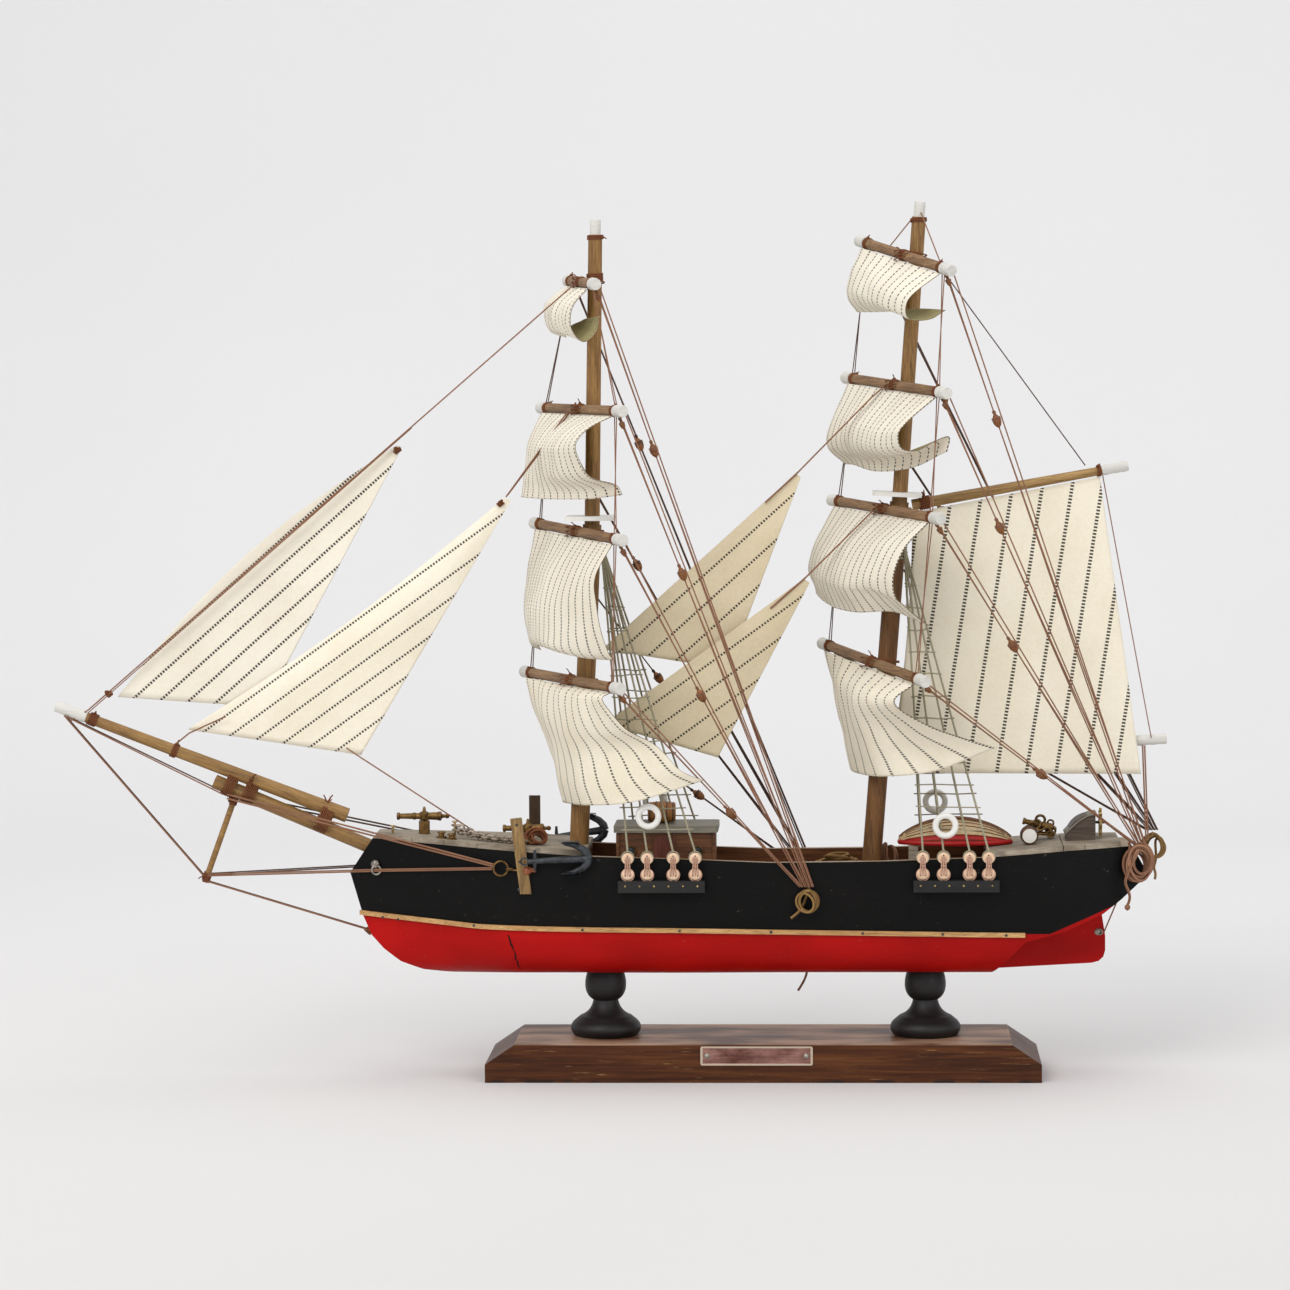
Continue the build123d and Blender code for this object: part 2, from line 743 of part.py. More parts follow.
with BuildPart() as bowsprit:
    add(rod(flat(BOWSPRIT[0]), flat(BOWSPRIT[1]), BOWSPRIT_DIAMETER))
    add(hull_block.part, mode=Mode.SUBTRACT)
    add(forecastle_deck.part, mode=Mode.SUBTRACT)
finish("bowsprit", bowsprit.part)

with BuildPart() as jib_boom:
    add(rod(flat(JIB_BOOM[0]), flat(JIB_BOOM[1]), JIB_BOOM_BUTT, JIB_BOOM_TIP))
    add(bowsprit.part, mode=Mode.SUBTRACT)
finish("jib_boom", jib_boom.part)

with BuildPart() as dolphin_striker:
    add(rod(flat(STRIKER[0]), flat(STRIKER[1]), STRIKER_DIAMETER))
    add(bowsprit.part, mode=Mode.SUBTRACT)
finish("dolphin_striker", dolphin_striker.part)

finish("gaff", rod(flat(GAFF[0]), flat(GAFF[1]), *GAFF_DIAMETERS))
finish("boom", rod(flat(BOOM[0], BOOM_Y), flat(BOOM[1], BOOM_Y), *BOOM_DIAMETERS))


def axis_point(points, z):
    """Where a mast's middle line is at a height."""
    for (x0, z0), (x1, z1) in zip(points, points[1:]):
        if z <= z1:
            return x0 + (x1 - x0) * (z - z0) / (z1 - z0)
    return points[-1][0]


def yard_ends(name):
    """The starboard end, the port end and the forward direction of a yard."""
    _, mast_name, height, half, brace, rise = next(row for row in YARDS if row[0] == name)
    points = FORE_MAST if mast_name == "fore" else MAIN_MAST
    shoulder = points[1][1]
    mast_radius = (LOWER_MAST_DIAMETER if height < shoulder else UPPER_MAST_DIAMETER) / 2
    turn = math.radians(brace)
    forward = (-math.cos(turn), -math.sin(turn), 0.0)
    along = (-math.sin(turn), math.cos(turn), rise / (2 * half))
    reach = mast_radius + YARD_DIAMETER / 2 + YARD_GAP
    middle = (axis_point(points, height) + forward[0] * reach, forward[1] * reach, height)
    starboard = tuple(m + half * a for m, a in zip(middle, along))
    port = tuple(m - half * a for m, a in zip(middle, along))
    return starboard, port, forward


for yard_row in YARDS:
    yard_start, yard_end, _ = yard_ends(yard_row[0])
    finish(yard_row[0], rod(yard_start, yard_end, YARD_DIAMETER))

# --------------------------------------------------------------------- sails

SAIL_ROWS = 10


def square_sail(yard_name, inset, billow, curl, foot):
    """A square sail hung from its yard, billowed forward and curled at the foot."""
    starboard, port, forward = yard_ends(yard_name)
    length = math.dist(starboard, port)
    clear = YARD_DIAMETER / 2 + SAIL_THICKNESS / 2 + 0.7
    ahead = (forward[0] * clear * 0.7, forward[1] * clear * 0.7, -clear * 0.7)
    count = len(foot) - 1
    grid = []
    for row in range(SAIL_ROWS + 1):
        down = row / SAIL_ROWS
        line = []
        for step, point in enumerate(foot):
            across = (inset + (length - 2 * inset) * step / count) / length
            head = [value + shift for value, shift in zip(on_line(starboard, port, across), ahead)]
            share = step / count
            push = on_line(billow[:1], billow[1:], share)[0] * math.sin(math.pi * down ** 1.4)
            drop = on_line(curl[:1], curl[1:], share)[0] * math.sin(math.pi * down ** 2)
            spot = on_line(head, point, down)
            line.append((spot[0] + push * forward[0], spot[1] + push * forward[1], spot[2] - drop))
        grid.append(line)
    return cloth(grid)


for sail_name, sail_yard, sail_inset, sail_billow, sail_curl, sail_foot in SQUARE_SAILS:
    finish(sail_name, square_sail(sail_yard, sail_inset, sail_billow, sail_curl, sail_foot))


def fore_aft_sail(corners, y, belly):
    """A fore-and-aft sail as a four-cornered sheet with a slight belly."""
    tack, clew, peak, throat = corners
    grid = []
    for row in range(SAIL_ROWS + 1):
        up = row / SAIL_ROWS
        line = []
        for step in range(SAIL_ROWS + 1):
            across = step / SAIL_ROWS
            x, z = on_line(on_line(tack, clew, across), on_line(throat, peak, across), up)
            line.append((x, y + belly * math.sin(math.pi * across) * math.sin(math.pi * up), z))
        grid.append(line)
    return cloth(grid)


for sail_name, sail_corners, sail_y, sail_belly in TRIANGLE_SAILS:
    finish(sail_name, fore_aft_sail(sail_corners, sail_y, sail_belly))

# ------------------------------------------------------------------- rigging


def shroud_gang(top, deadeyes, side):
    """Four shrouds spread from the masthead and the ratlines across them."""
    lower = UPPER_DEADEYE_Z + DEADEYE_DIAMETER / 2 + 0.2
    head = (top[0], side * top[1], top[2])
    feet = [(x, side * (DEADEYE_Y - 0.6), lower) for x in deadeyes]
    cords = [rod(on_line(foot, head, 0.0), on_line(foot, head, 0.985), SHROUD_DIAMETER) for foot in feet]
    steps = int((top[2] - lower - 12) / RATLINE_STEP)
    for count in range(1, steps + 1):
        amount = count * RATLINE_STEP / (top[2] - lower)
        first = on_line(feet[0], head, amount)
        last = on_line(feet[-1], head, amount)
        cords.append(rod(on_line(first, last, -0.03), on_line(first, last, 1.03), RATLINE_DIAMETER))
    return cords


with BuildPart() as shrouds:
    for side in (-1, 1):
        add(shroud_gang(FORE_SHROUD_TOP, FORE_DEADEYES, side))
        add(shroud_gang(MAIN_SHROUD_TOP, MAIN_DEADEYES, side))
finish("shrouds", shrouds.part)

with BuildPart() as deadeyes:
    for side in (-1, 1):
        for x in FORE_DEADEYES + MAIN_DEADEYES:
            for z in (LOWER_DEADEYE_Z, UPPER_DEADEYE_Z):
                add(disc((x, side * (DEADEYE_Y - 0.5), z), (0, 1, 0), DEADEYE_DIAMETER, DEADEYE_THICKNESS))
finish("deadeyes", deadeyes.part)

BUOY_PLACES = ((-47.8, -32.6, 115.0), (78.2, -32.6, 110.8), (75.2, 32.6, 114.4), (-47.8, 32.6, 115.0))

with BuildPart() as lifebuoys:
    add([ring(place, (0, 1, 0), 11.2, 2.7) for place in BUOY_PLACES])
finish("lifebuoys", lifebuoys.part)

BOW_RING = (-111.3, 27.2, 92.4)
HAWSE = (-167.2, 9.8, 92.2)
STRIKER_FOOT = (-242.0, 0.0, 85.0)
BOWSPRIT_CAP = (-232.0, 0.0, 121.2)
JIB_TIP = (-303.0, 0.0, 156.4)
STEM_EYE = (-170.8, 0.0, 62.4)


def both_sides(point):
    """The port and starboard copies of a point given to starboard."""
    return ((point[0], -point[1], point[2]), point)


def bow_lines():
    """Cords from the jib-boom to the striker, the stem and the bow rings."""
    cords = []
    for gap in (-1.0, 1.0):
        tip = (JIB_TIP[0], gap, JIB_TIP[2])
        cords.append(rod(tip, (STRIKER_FOOT[0], gap * 1.6, STRIKER_FOOT[2]), THIN_CORD))
        cords.append(rod(tip, (BOWSPRIT_CAP[0] - 2, gap * 3.6, BOWSPRIT_CAP[2] + 1), THIN_CORD))
        cords.append(rod((STRIKER_FOOT[0], gap * 1.6, STRIKER_FOOT[2] - 1), (STEM_EYE[0], gap * 1.4, STEM_EYE[2]),
                         THIN_CORD))
    for ring_end, hawse_end in zip(both_sides(BOW_RING), both_sides(HAWSE)):
        side = 1 if ring_end[1] > 0 else -1
        cap = (BOWSPRIT_CAP[0], side * 4.0, BOWSPRIT_CAP[2])
        shoulder = (-171.0, side * 12.6, on_line(cap, ring_end, 0.51)[2])
        for rise in (-0.9, 0.9):
            cords.append(rod((cap[0], cap[1], cap[2] + rise), (ring_end[0], ring_end[1], ring_end[2] + rise / 2 + 1.0),
                             CORD))
        foot = (STRIKER_FOOT[0], side * 2.2, STRIKER_FOOT[2] + 1.6)
        hawse_point = (hawse_end[0], hawse_end[1], hawse_end[2] - 1.4)
        cords.append(rod(foot, hawse_point, THIN_CORD))
        cords.append(rod(hawse_point, (ring_end[0] - 3, ring_end[1], ring_end[2] - 1.5), THIN_CORD))
    return cords


def stays():
    """Head stays, sail halyards and the cords that hold the spanker."""
    return [
        rod((-292.4, -1.3, 158.8), (-80.6, -1.3, 340.2), CORD),
        rod((-251.0, -1.3, 143.6), (-248.4, -1.3, 148.6), CORD),
        rod((-109.0, -1.0, 251.0), (-81.6, -1.0, 286.6), CORD),
        rod((-175.0, -1.4, 138.2), (-122.4, -3.0, 104.2), THIN_CORD),
        rod((16.2, 2.4, 260.0), (48.6, 2.4, 291.2), CORD),
        rod((19.4, -2.4, 215.0), (46.6, -2.4, 241.8), CORD),
        rod((146.4, 2.6, 259.4), (167.4, 2.0, 144.8), THIN_CORD),
        rod((164.2, 2.6, 141.4), (165.2, -4.0, 101.0), CORD),
    ]


with BuildPart() as standing_rigging:
    add(bow_lines() + stays())
finish("standing_rigging", standing_rigging.part)


def brace(yard_name, port_side, inset, foot, shift, lift):
    """A taut brace from near a yard's end down to its hank."""
    starboard, port, _ = yard_ends(yard_name)
    end = port if port_side else starboard
    away = starboard if port_side else port
    spot = on_line(end, away, inset / math.dist(end, away))
    start = (spot[0] + 1.4, spot[1], spot[2] - YARD_DIAMETER / 2 - 0.8)
    return rod(start, (foot[0] + shift, foot[1], foot[2] + lift), THIN_CORD)


def hank_point(place, port_side):
    """The hank's middle on the chosen side of the ship."""
    return (place[0], -place[1] if port_side else place[1], place[2])


with BuildPart() as fore_braces:
    for port_side in (True, False):
        for count, yard_row in enumerate(YARDS[:4]):
            foot_point = hank_point(HANK_FORE, port_side)
            add(brace(yard_row[0], port_side, 3.0, foot_point, 1.5 * count - 2.2, 6.0))
finish("fore_braces", fore_braces.part)

with BuildPart() as main_braces:
    for port_side in (True, False):
        stern_hank = HANK_STERN_PORT if port_side else HANK_STERN_STARBOARD
        for count, yard_row in enumerate(YARDS[4:]):
            add(brace(yard_row[0], port_side, 3.0, stern_hank, 1.2 * count - 1.8, 7.2))
finish("main_braces", main_braces.part)

HANK_SIZE = (10.5, 4.6)
DECK_COILS = (((-96.5, -8.0), 10.0, 2.4), ((33.0, 11.2), 24.0, 6.2), ((36.5, -12.0), 9.0, 4.0))
MAST_COIL = (54.6, 9.0, 93.5)


def coil(centre, floor, diameter, height):
    """A round coil of cord lying flat."""
    return ring((centre[0], centre[1], floor + height / 2), (0, 0, 1), diameter, height)


with BuildPart() as rope_hanks:
    for place in both_sides(HANK_FORE):
        add(ring(place, (0, 1, 0), *HANK_SIZE))
    add(ring(HANK_STERN_PORT, (0.35, -1, 0), 13.0, 5.0))
    add(ring(HANK_STERN_STARBOARD, (0, 1, 0), 11.0, 4.4))
    add(coil(DECK_COILS[0][0], 101.6, *DECK_COILS[0][1:]))
    for coil_centre, coil_diameter, coil_height in DECK_COILS[1:]:
        add(coil(coil_centre, WELL_FLOOR + MAIN_DECK_BOARD + 0.1, coil_diameter, coil_height))
    add(ring(MAST_COIL, (1, 0.25, 0), 12.4, 4.0))
finish("rope_hanks", rope_hanks.part)

with BuildPart() as nails_and_rings:
    for x in (PLATE_CENTRE[0] - 21.2, PLATE_CENTRE[0] + 21.2):
        add(disc((x, -BASE_DEPTH / 2 - PLATE_SIZE[2] - 0.5, PLATE_CENTRE[1]), (0, 1, 0), 2.6, 1.0))
    for place in both_sides(BOW_RING):
        add(ring(place, (0, 1, 0), 7.2, 0.9))
    for place in both_sides(HAWSE):
        add(ring((place[0], place[1], place[2] - 2.2), (0, 1, 0), 4.5, 0.8))
finish("nails_and_rings", nails_and_rings.part)
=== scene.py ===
import math
import random
from itertools import pairwise, product

import bpy
from mathutils import Matrix, Vector, noise


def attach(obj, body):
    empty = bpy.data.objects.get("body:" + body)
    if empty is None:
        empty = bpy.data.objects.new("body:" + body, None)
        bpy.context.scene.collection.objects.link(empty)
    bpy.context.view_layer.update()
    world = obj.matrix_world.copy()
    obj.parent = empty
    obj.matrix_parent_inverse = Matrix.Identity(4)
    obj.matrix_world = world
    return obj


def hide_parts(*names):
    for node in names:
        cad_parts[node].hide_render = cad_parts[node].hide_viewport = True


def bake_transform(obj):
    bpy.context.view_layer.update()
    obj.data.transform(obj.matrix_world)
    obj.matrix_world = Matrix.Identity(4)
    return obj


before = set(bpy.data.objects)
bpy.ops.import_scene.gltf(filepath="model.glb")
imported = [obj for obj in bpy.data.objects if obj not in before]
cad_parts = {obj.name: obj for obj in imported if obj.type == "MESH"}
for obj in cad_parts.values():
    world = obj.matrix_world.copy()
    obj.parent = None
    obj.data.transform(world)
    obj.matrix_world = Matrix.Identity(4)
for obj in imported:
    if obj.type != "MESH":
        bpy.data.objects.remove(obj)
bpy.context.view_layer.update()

MM = 0.001


def linear(value):
    """One sRGB channel, 0 to 255, as linear light."""
    share = value / 255
    return share / 12.92 if share <= 0.04045 else ((share + 0.055) / 1.055) ** 2.4


def tone(red, green, blue):
    """An sRGB colour as the shader wants it."""
    return (linear(red), linear(green), linear(blue), 1.0)


def between(a, b, share):
    """The point at a share of the way from a to b."""
    return Vector(a) + (Vector(b) - Vector(a)) * share


def settle(thing, **settings):
    """Set several properties of one thing."""
    for name, value in settings.items():
        setattr(thing, name, value)
    return thing


def add_object(name, data):
    """A new object in the scene."""
    made = bpy.data.objects.new(name, data)
    bpy.context.scene.collection.objects.link(made)
    return made


# -------------------------------------------------------------------- camera

CAMERA_PLACE = (37.95, -1850.0, 309.33)
CAMERA_TURN, CAMERA_DROP, CAMERA_ROLL = 2.728, 3.812, -0.44

camera = add_object("Camera", settle(bpy.data.cameras.new("Camera"), lens=120.06, sensor_width=36.0, clip_end=50.0))
camera.matrix_world = (
    Matrix.Translation(Vector(CAMERA_PLACE) * MM)
    @ Matrix.Rotation(math.radians(CAMERA_TURN), 4, "Z")
    @ Matrix.Rotation(math.radians(90.0 - CAMERA_DROP), 4, "X")
    @ Matrix.Rotation(math.radians(CAMERA_ROLL), 4, "Z")
)
bpy.context.scene.camera = camera
bpy.context.scene.view_settings.view_transform = "Standard"


# ----------------------------------------------------------------- materials

WHITE = (255, 255, 255)


class Amount:
    """A shader value that takes part in arithmetic."""

    def __init__(self, look, socket):
        self.look = look
        self.socket = socket

    def joined(self, kind, a, b=0.0):
        return self.look.add("ShaderNodeMath", 0, {0: a, 1: b}, operation=kind)

    def __add__(self, other):
        return self.joined("ADD", self, other)

    def __sub__(self, other):
        return self.joined("SUBTRACT", self, other)

    def __rsub__(self, other):
        return self.joined("SUBTRACT", other, self)

    def __mul__(self, other):
        return self.joined("MULTIPLY", self, other)

    def __lt__(self, other):
        return self.joined("LESS_THAN", self, other)

    def __gt__(self, other):
        return self.joined("GREATER_THAN", self, other)

    def __abs__(self):
        return self.joined("ABSOLUTE", self)

    def at_least(self, other):
        return self.joined("MAXIMUM", self, other)

    def sine(self):
        return self.joined("SINE", self)

    def fold(self):
        """0.5 at each whole number, 0 halfway between."""
        return abs(self.joined("FRACT", self) - 0.5)


class Look:
    """A procedural material while its nodes are put together. A tuple of three is an sRGB colour."""

    def __init__(self, name, roughness, metallic=0.0, specular=0.4):
        self.material = bpy.data.materials.new(name)
        self.material.use_nodes = True
        self.tree = self.material.node_tree
        self.shader = self.tree.nodes["Principled BSDF"]
        self.shader.inputs["Roughness"].default_value = roughness
        self.shader.inputs["Metallic"].default_value = metallic
        self.shader.inputs["Specular IOR Level"].default_value = specular

    def put(self, node, socket, value):
        """Link a value to an input, or set the input's own value."""
        value = getattr(value, "socket", value)
        if isinstance(value, bpy.types.NodeSocket):
            self.tree.links.new(value, node.inputs[socket])
        else:
            node.inputs[socket].default_value = tone(*value) if isinstance(value, tuple) else value

    def add(self, kind, output, inputs, **settings):
        """A new node's output."""
        node = settle(self.tree.nodes.new(kind), **settings)
        for socket, value in inputs.items():
            self.put(node, socket, value)
        return Amount(self, node.outputs[output])

    def place(self, scale=1, turn=(0, 0, 0), source="Object"):
        """Coordinates in millimetres, or a UV run, turned (degrees) and scaled."""
        sizes = scale if isinstance(scale, tuple) else (scale,) * 3
        unit = 1000 if source == "Object" else 1
        plain = self.add("ShaderNodeTexCoord", source, {})
        angles = [math.radians(angle) for angle in turn]
        turned = self.add("ShaderNodeMapping", "Vector", {"Vector": plain, "Rotation": angles})
        return self.add("ShaderNodeMapping", "Vector", {"Vector": turned, "Scale": [size * unit for size in sizes]})

    def split(self, vector=None):
        """The three parts of a vector, or of the place in millimetres."""
        first = self.add("ShaderNodeSeparateXYZ", 0, {0: vector or self.place()})
        return [Amount(self, output) for output in first.socket.node.outputs]

    def noise(self, scale, detail, roughness=0.55, distortion=0.0, turn=(0, 0, 0)):
        """Cloudy noise, finer with a larger scale; a tuple stretches it."""
        inputs = {"Vector": self.place(scale, turn), "Scale": 1.0, "Detail": detail, "Roughness": roughness,
            "Distortion": distortion}
        return self.add("ShaderNodeTexNoise", "Fac", inputs)

    def ramp(self, amount, *stops):
        """A colour ramp over stops: place, colour, place, colour."""
        made = self.add("ShaderNodeValToRGB", "Color", {0: amount})
        elements = made.socket.node.color_ramp.elements
        while len(elements) < len(stops) / 2:
            elements.new(0.5)
        for element, place, colour in zip(elements, stops[::2], stops[1::2]):
            element.position = place
            element.color = tone(*colour)
        return made

    def mask(self, amount, low, high):
        """0 below low, 1 above high, smooth between."""
        return self.add("ShaderNodeMapRange", 0, {0: amount, 1: low, 2: high}, interpolation_type="SMOOTHSTEP")

    def mix(self, share, a, b, kind="MIX"):
        """Two colours mixed."""
        return self.add("ShaderNodeMix", 2, {0: share, 6: a, 7: b}, data_type="RGBA", blend_type=kind)

    def bump(self, height, distance):
        """Relief of the given height in millimetres over what is there."""
        made = self.add("ShaderNodeBump", "Normal", {"Strength": 1.0, "Distance": distance * MM, "Height": height})
        normal = self.shader.inputs["Normal"]
        if normal.is_linked:
            self.tree.links.new(normal.links[0].from_socket, made.socket.node.inputs["Normal"])
        self.tree.links.new(made.socket, normal)

    def colour(self, value):
        self.put(self.shader, "Base Color", value)

    def rough(self, amount, low, high):
        """Roughness that follows a value."""
        self.put(self.shader, "Roughness", self.add("ShaderNodeMapRange", 0, {0: amount, 3: low, 4: high}))


def wood(name, dark, light, turn=(0, 0, 0), fine=1.0, roughness=0.55, darker_below=None, far_side_shade=None):
    """Bare or stained wood with its grain along X before the turn, darker below an optional height, and with painted
    shade multiplied over the far side when a far-side colour is given.
    """
    look = Look(name, roughness)
    grain = look.noise((0.035 * fine, 0.55 * fine, 0.55 * fine), 5, 0.6, 0.9, turn)
    fibre = look.noise((0.12 * fine, 4.2 * fine, 4.2 * fine), 3, 0.7, 0.0, turn)
    stain = look.noise((0.03, 0.06, 0.06), 2, 0.5, 0.0, turn)
    body = look.ramp(grain, 0.3, dark, 0.68, light)
    pores = look.ramp(fibre, 0.36, (120, 112, 104), 0.5, WHITE)
    worn = look.ramp(stain, 0.3, (214, 206, 198), 0.7, WHITE)
    colour = look.mix(0.8, look.mix(0.75, body, pores, "MULTIPLY"), worn, "MULTIPLY")
    _, y, z = look.split()
    if darker_below:
        low = look.mask(z * -1.0, -darker_below, 12.0 - darker_below)
        colour = look.mix(low, colour, (196, 178, 160), "MULTIPLY")
    # Painted shade: the far side, where y is above 0, is multiplied by a darker colour.
    if far_side_shade:
        colour = look.mix(look.mask(y, 0.0, 1.0), colour, far_side_shade, "MULTIPLY")
    look.colour(colour)
    look.bump(fibre, 0.06)
    look.rough(grain, roughness - 0.08, roughness + 0.12)
    return look.material


def base_wood():
    """The stand's stained board: red-brown, with pale streaks, dust and a painted sheen on its top, and a painted
    shadow in patches along its foot.
    """
    look = Look("stained_wood", 0.6, specular=0.2)
    grain = look.noise((0.018, 0.42, 0.42), 6, 0.62, 0.5)
    body = look.ramp(grain, 0.3, (44, 19, 6), 0.5, (73, 37, 14), 0.72, (102, 59, 28))
    streak = look.noise((0.05, 1.5, 1.5), 4, 0.7, 0.6)
    _, _, z = look.split()
    side = look.mask(z * -1.0, -15.8, -15.0)
    pale = look.mask(streak, 0.62, 0.72) * (side * 0.85).at_least(0.2)
    colour = look.mix(pale, body, (166, 132, 84))
    # Lighter grey patches on the top face: dust, and a painted sheen where the top catches the light.
    dust_and_sheen = look.noise((0.02, 0.06, 0.06), 3, 0.5)
    top = look.mask(z, 16.0, 16.5) * look.mask(dust_and_sheen, 0.36, 0.66)
    colour = look.mix(top * 0.8, colour, (184, 150, 124))
    # Painted shadow: the bottom edge is darkened in patches where the board meets the floor.
    foot = look.mask(z * -1.0, -2.2, -0.2)
    foot_shadow_blot = look.mask(look.noise((0.05, 0.05, 0.12), 2), 0.5, 0.6)
    look.colour(look.mix(foot * foot_shadow_blot, colour, (34, 24, 20)))
    look.bump(streak, 0.12)
    look.bump(grain, 0.08)
    look.rough(dust_and_sheen, 0.34, 0.55)
    return look.material


def paint(name, colour, second, roughness, fleck=0.0, fleck_tone=(200, 196, 186), relief=0.05):
    """Hand-laid paint: brush marks, cloudy tone and small flecks of wear."""
    look = Look(name, roughness)
    brush = look.noise((0.08, 0.7, 0.7), 4, 0.6, 0.3)
    cloud = look.noise(0.03, 3, 0.5)
    body = look.ramp(brush * 0.5 + cloud * 0.5, 0.36, colour, 0.66, second)
    wear = look.mask(look.noise(0.5, 3, 0.75), 0.69, 0.73)
    look.colour(look.mix(wear * fleck, body, fleck_tone))
    look.bump(brush, relief)
    look.rough(cloud, roughness - 0.08, roughness + 0.1)
    return look.material


def hull_paint():
    """Black topsides, red below the strip, brown bulwarks inside, and a crack."""
    look = Look("hull_paint", 0.5, specular=0.13)
    x, y, z = look.split()
    brush = look.noise((0.1, 0.5, 0.9), 4, 0.62, 0.4)
    cloud = look.noise((0.02, 0.03, 0.04), 3, 0.5)
    black = look.ramp(brush * 0.4 + cloud * 0.6, 0.35, (4, 4, 4), 0.7, (14, 12, 11))
    red = look.ramp(cloud, 0.3, (146, 4, 2), 0.7, (176, 9, 6))
    bow_rise = (-121.0 - x).at_least(0.0) * 0.066
    aft_rise = (x - 122.5).at_least(0.0) * 0.43
    above = look.mask(z - (x * -0.0142 + 65.2 + bow_rise + aft_rise), -0.12, 0.12)
    sides = look.mix(above, red, black)
    scuff = look.mask(look.noise((0.45, 0.6, 0.45), 4, 0.8), 0.66, 0.73)
    sides = look.mix(scuff * 0.42, sides, (128, 118, 104))
    wobble = (look.noise(0.4, 4) - 0.5) * 2.6
    gap = look.mask(abs(x + z * 0.30 + 89.6 + wobble), 0.22, 0.4)
    crack = (1.0 - gap) * (look.mask(z, 47.5, 48.5) * (1.0 - above)) * (z < 63.4)
    sides = look.mix(crack, sides, (22, 8, 7))
    inside = look.mask(z, 85.0, 85.6) * (abs(y) < 24.7) * (x < 97.0) * (x > -76.0)
    grain = look.noise((0.05, 0.6, 0.8), 5, 0.6, 0.5)
    sides = look.mix(inside, sides, look.ramp(grain, 0.3, (62, 36, 20), 0.7, (104, 64, 38)))
    upward = look.split(look.add("ShaderNodeNewGeometry", "Normal", {}))[2]
    rail = look.mask(upward, 0.8, 0.95) * look.mask(z, 90.0, 91.0)
    look.colour(look.mix(rail, sides, (150, 128, 104)))
    look.bump(brush, 0.07)
    look.bump(1.0 - crack, 0.35)
    look.rough(cloud, 0.36, 0.56)
    return look.material


def deck_paint():
    """Grey-beige boards with faint seams and worn, dirty patches."""
    look = Look("deck_grey", 0.7)
    grain = look.noise((0.05, 1.1, 1.1), 5, 0.65, 0.3)
    cloud = look.noise((0.06, 0.09, 0.09), 3, 0.5)
    body = look.ramp(grain, 0.3, (126, 114, 98), 0.7, (170, 158, 140))
    dirt = look.ramp(cloud, 0.35, (176, 168, 158), 0.6, WHITE)
    seam = look.mask((look.split()[1] * 0.22).fold(), 0.47, 0.495)
    look.colour(look.mix(seam * 0.5, look.mix(0.7, body, dirt, "MULTIPLY"), (70, 62, 54)))
    look.bump(grain, 0.08)
    look.bump(1.0 - seam, 0.1)
    return look.material


def metal(name, dark, light, roughness, metallic=0.85):
    """Cast or rubbed metal with tarnish in its hollows."""
    look = Look(name, roughness, metallic, 0.5)
    cloud = look.noise(0.35, 4, 0.6)
    grit = look.noise(3.0, 3, 0.6)
    look.colour(look.ramp(cloud * 0.7 + grit * 0.3, 0.35, dark, 0.65, light))
    look.bump(grit, 0.05)
    look.rough(cloud, roughness - 0.1, roughness + 0.18)
    return look.material


def plate_metal():
    """The blank name plate: rubbed pinkish copper with a thin bright border."""
    look = Look("plate_metal", 0.32, 0.75, 0.5)
    rub = look.noise((0.08, 1.0, 1.6), 4, 0.6)
    cloud = look.noise((0.12, 0.2, 0.2), 4, 0.6)
    body = look.ramp(cloud, 0.32, (112, 72, 64), 0.68, (176, 134, 122))
    worn = look.ramp(rub, 0.35, (205, 190, 188), 0.65, WHITE)
    x, _, z = look.split()
    border = look.mask(abs(x + 2.5), 22.9, 23.2).at_least(look.mask(abs(z - 11.7), 3.2, 3.5))
    look.colour(look.mix(border, look.mix(0.8, body, worn, "MULTIPLY"), (206, 188, 168)))
    look.bump(rub, 0.03)
    look.bump(border, 0.08)
    look.rough(cloud, 0.24, 0.46)
    return look.material


def cord_fibre(name, dark, light):
    """Twisted cord: slanting strands along the run, with loose fibres."""
    look = Look(name, 0.85, specular=0.2)
    run, turn, _ = look.split(look.place(source="UV"))
    strand = (run * 1.1 + turn * 2.0).fold()
    fuzz = look.noise(1.6, 3, 0.7)
    tint = look.noise(0.05, 2, 0.5)
    shade = strand * 0.7 + (fuzz * 0.4 + tint * 0.3)
    look.colour(look.ramp(1.0 - shade, 0.2, light, 0.75, dark))
    look.bump(1.0 - strand, 0.14)
    return look.material


def sail_cotton(name, light, shade, stripe_width, dash):
    """Cotton with a fine weave and dotted dark stripes sewn down the cloths."""
    look = Look(name, 0.9, specular=0.15)
    warp, weft, _ = look.split(look.add("ShaderNodeUVMap", "UV", {}, uv_map="Cloth"))
    weave = (warp * 13.0).sine() * (weft * 13.0).sine()
    slub = look.noise(0.7, 4, 0.7)
    cloud = look.noise(0.035, 3, 0.5)
    body = look.ramp(slub * 0.45 + cloud * 0.55, 0.34, shade, 0.62, light)
    body = look.mix(0.10, body, look.ramp(weave, 0.0, (150, 140, 118), 0.6, WHITE), "MULTIPLY")
    cross, run, _ = look.split(look.add("ShaderNodeUVMap", "UV", {}, uv_map="Stripes"))
    line = 1.0 - look.mask(cross.fold(), stripe_width * 0.8, stripe_width * 1.2)
    dots = 1.0 - look.mask(run.fold(), dash * 0.42, dash * 0.58)
    look.colour(look.mix(line * dots * 0.93, body, (12, 10, 8)))
    look.bump(weave, 0.03)
    look.bump(slub, 0.05)
    look.bump(1.0 - line, 0.05)
    look.shader.inputs["Subsurface Weight"].default_value = 0.06
    look.shader.inputs["Subsurface Radius"].default_value = (0.001, 0.0008, 0.0005)
    return look.material


